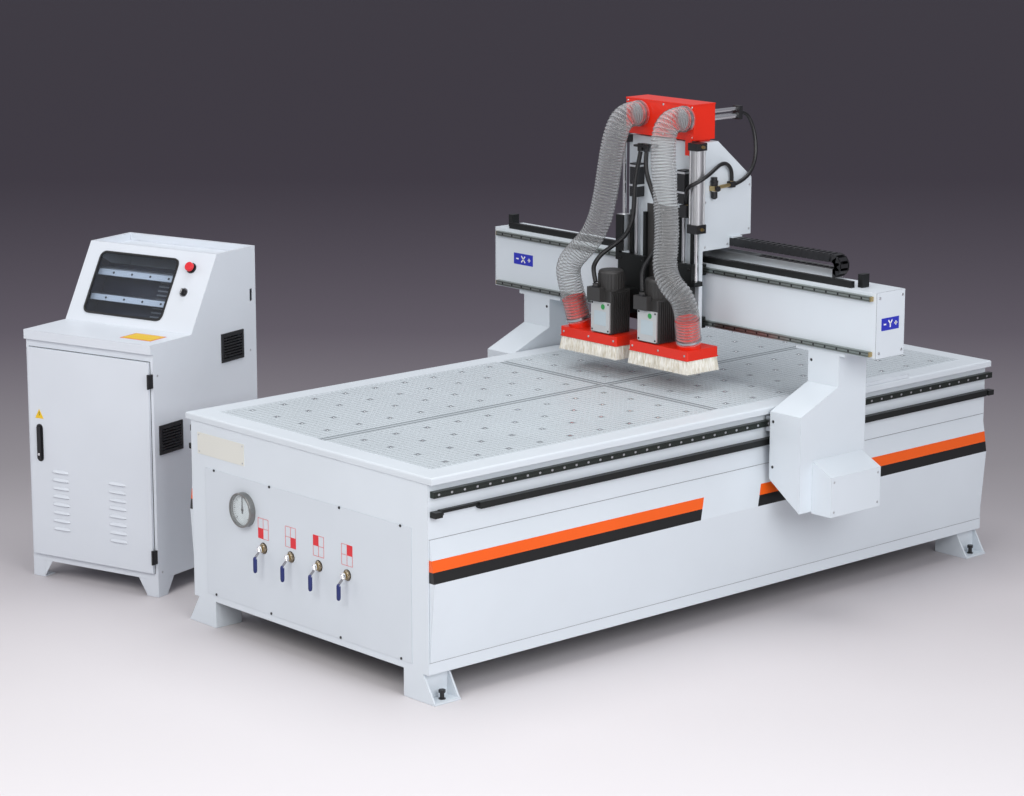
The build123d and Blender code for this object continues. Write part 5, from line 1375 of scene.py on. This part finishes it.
        # The back and side panels inside the console are painted near black as the shade inside it.
        back = Shape("console_back_shade", PAINT.plain(Look.CONSOLE_SHADE), SLOPE)
        back.box((x0 - 0.03, y0 - 0.005, -0.110), (x1 + 0.03, y1 - 0.01, -0.105))
        back.box((x0 - 0.034, y0 - 0.005, -0.110), (x0 - 0.030, y1 - 0.01, -0.012))
        back.box((x1 + 0.030, y0 - 0.005, -0.110), (x1 + 0.034, y1 - 0.01, -0.012))
        back.on("base")
        slats = Shape("console_slats", PAINT.plain(Look.SEAM), SLOPE)
        for n in range(12):
            y = y0 + 0.020 + n * 0.019
            slats.box((x0 + 0.26, y, -0.1048), (x1 - 0.02, y + 0.006, -0.0990))
        slats.on("base")
        ring = Shape("control_plates", PAINT.plain(Look.CHROME), SLOPE)
        ring.rod((-0.100, -0.071, -0.0003), (-0.100, -0.071, 0.0007), 0.0215, 32)
        ring.on("base")
        mark = Shape("knob_mark", PAINT.plain(Look.LABEL_WHITE), SLOPE)
        mark.box((-0.1008, -0.1855, 0.0208), (-0.0992, -0.1680, 0.0214))
        mark.on("switch")
        knob = Shape("switch_plate", PAINT.plain(Look.CHROME), SLOPE)
        knob.rod((-0.100, -0.177, -0.0003), (-0.100, -0.177, 0.0030), 0.0195, 32)
        knob.on("base")

    def body_trim(self) -> None:
        """Screws and vent fans on the cabinet's side."""
        feet = Shape("foot_gussets", PAINT.plain(Look.CABINET), CABINET)
        for x, dx in ((-self.width + 0.060, 1), (-0.060, -1)):
            for y in (0.0142, self.depth - 0.003):
                feet.prism([(x, 0.006), (x, 0.0702), (x + dx * 0.040, 0.0702)], "y", y, y + 0.0028)
        for y, dy in ((0.074, 1), (self.depth - 0.060, -1)):
            for x in (-self.width + 0.0002, -0.0030):
                feet.prism([(y, 0.006), (y, 0.0702), (y + dy * 0.040, 0.0702)], "x", x, x + 0.0028)
        feet.on("base")
        side = [(0, y, z) for y in (0.04, 0.65) for z in (0.10, 0.90)]
        screws("cabinet_screws", Look.STEEL, side, (1, 0, 0), 0.005, 0.0025, "base", CABINET)
        fans = Shape("vent_fans", PAINT.plain(Look.BLACK), CABINET)
        for y, z in ((0.527, 0.938), (0.114, 0.638)):
            fans.lathe([(0, 0.014), (0.006, 0.014)], (-0.012, y, z), (1, 0, 0), 20)
            for k in range(7):
                t = 2 * math.pi * k / 7
                c, s = math.cos(t), math.sin(t)
                blade = [(0.012, -0.008), (0.044, -0.014), (0.044, 0.012), (0.012, 0.008)]
                fans.prism([(y + c * a - s * b, z + s * a + c * b) for a, b in blade], "x", -0.010, -0.008)
        fans.on("base")

    def build(self) -> None:
        """Builds the cabinet."""
        self.paint()
        self.louvres()
        self.door_trim()
        self.console()
        self.body_trim()


class Studio:
    """Floor, lights and camera."""

    EYE = (8.388, -8.063, 3.322)
    YAW = 137.95
    PITCH = -12.35
    LENS = 104.7

    def floor(self) -> None:
        """Lays the pale floor under the machine."""
        bpy.ops.mesh.primitive_plane_add(size=90, location=(0, 0, -0.0005))
        plane = bpy.context.object
        plane.name = "floor"
        plane.data.materials.append(PAINT.floor())

    @staticmethod
    def lamp(name: str, place, aim, size: tuple[float, float], power: float, colour) -> None:
        """Adds one rectangular soft light.

        Args:
            name: the light's name.
            place: where it hangs.
            aim: what it points at.
            size: width and height.
            power: watts.
            colour: light colour.
        """
        data = bpy.data.lights.new(name, "AREA")
        data.shape = "RECTANGLE"
        data.size, data.size_y = size
        data.energy = power
        data.color = colour
        lamp = bpy.data.objects.new(name, data)
        bpy.context.scene.collection.objects.link(lamp)
        lamp.location = place
        lamp.rotation_euler = (Vector(aim) - Vector(place)).to_track_quat("-Z", "Y").to_euler()

    def lights(self) -> None:
        """Sets the studio lights and the room colour."""
        self.lamp("key", (2.0, -6.0, 4.6), (0.2, -0.6, 0.7), (4.5, 3.5), 205, (1.0, 0.995, 0.98))
        self.lamp("side", (7.8, -2.2, 4.2), (0.6, -0.2, 0.6), (5, 4), 360, (0.97, 0.98, 1.0))
        self.lamp("top", (0, 0.5, 7.5), (0, 0, 0.8), (6, 6), 275, (0.97, 0.985, 1.0))
        self.lamp("left", (-6.0, -5.5, 3.5), (-1.0, -0.8, 0.7), (4, 3), 90, (0.97, 0.98, 1.0))
        world = bpy.data.worlds.new("room")
        bpy.context.scene.world = world
        world.use_nodes = True
        shade = world.node_tree.nodes["Background"]
        shade.inputs["Color"].default_value = (0.26, 0.26, 0.29, 1)
        shade.inputs["Strength"].default_value = 1.0

    def camera(self) -> None:
        """Places the camera at the photograph's viewpoint."""
        data = bpy.data.cameras.new("camera")
        data.lens = self.LENS
        data.sensor_width = 36
        data.clip_end = 200
        camera = bpy.data.objects.new("camera", data)
        bpy.context.scene.collection.objects.link(camera)
        yaw, pitch = math.radians(self.YAW), math.radians(self.PITCH)
        look = Vector((math.cos(yaw) * math.cos(pitch), math.sin(yaw) * math.cos(pitch), math.sin(pitch)))
        camera.location = BED_CENTRE + Vector(self.EYE)
        camera.rotation_euler = look.to_track_quat("-Z", "Y").to_euler()
        bpy.context.scene.camera = camera

    def render_settings(self) -> None:
        """Sets colour handling and ray depths."""
        scene = bpy.context.scene
        scene.render.engine = "CYCLES"
        scene.view_settings.view_transform = "Standard"
        scene.view_settings.exposure = 0.0
        scene.cycles.max_bounces = 10
        scene.cycles.transparent_max_bounces = 24
        scene.cycles.use_denoising = True

    def build(self) -> None:
        """Builds the studio."""
        self.floor()
        self.lights()
        self.camera()
        self.render_settings()


PORT_END = Vector((0.12, -0.25, 1)).normalized() * 125.5
HOSE_1 = (
    (-105, 260.5, 1885), (-106, 222, 1885), (-108, 187, 1865), (-112, 168, 1830), (-128, 160, 1760),
    (-146, 158, 1660), (-160, 152, 1560), (-178, 142, 1465), (-212, 126, 1385), (-268, 108, 1325),
    (-322, 100, 1268), (-334, 115.5, 1203), (-310 - PORT_END.x, 165 + PORT_END.y, 1005 + PORT_END.z),
)
HOSE_2 = (
    (150, 260.5, 1885), (150, 222, 1885), (150, 187, 1865), (151, 168, 1830), (156, 160, 1755),
    (168, 158, 1660), (182, 152, 1565), (205, 138, 1480), (222, 118, 1400), (233, 98, 1325),
    (270, 88, 1265), (334, 115.5, 1203), (310 + PORT_END.x, 165 + PORT_END.y, 1005 + PORT_END.z),
)
CABLE_1 = (
    (-94, 283, 1732.6), (-95, 276, 1700), (-99, 265, 1650), (-101, 257, 1590), (-97, 252, 1520),
    (-100, 246, 1450), (-122, 230, 1392), (-160, 200, 1352), (-190, 160, 1318), (-196, 124, 1278),
    (-171, 99, 1254), (-153, 94, 1214.5),
)
CABLE_2 = (
    (-60, 283, 1732.6), (-58, 276, 1700), (-44, 268, 1650), (-10, 259, 1600), (28, 252, 1545),
    (54, 248, 1480), (64, 240, 1410), (64, 212, 1356), (76, 164, 1324), (96, 114, 1296),
    (113, 93, 1252), (116, 94, 1214.5),
)
TUBE_1 = (
    (170, 575.6, 1890), (171, 602, 1888), (176, 626, 1868), (186, 640, 1826), (198, 644, 1768),
    (210, 632, 1708), (217, 600, 1656), (218, 556, 1624), (216, 508.5, 1612),
)
TUBE_2 = (
    (213, 492, 1626.8), (214, 492, 1652), (217, 480, 1680), (224, 448, 1702), (236, 404, 1704),
    (250, 356, 1688), (252, 310, 1664), (240, 266, 1642), (208, 252, 1624), (178, 268, 1596),
    (166, 287, 1548.5),
)


def main() -> None:
    """Builds the router and its studio, and logs each part as it is built."""
    logging.basicConfig(level=logging.INFO)
    parts = [
        Bed(), Gantry(), Carriage(), Head(1, -1, HOSE_1, CABLE_1), Head(2, 1, HOSE_2, CABLE_2),
        AirTube(1, TUBE_1), AirTube(2, TUBE_2), ControlCabinet(), Studio(),
    ]
    for part in parts:
        part.build()
        LOG.info("built %s", type(part).__name__)


if __name__ == "__main__":
    main()
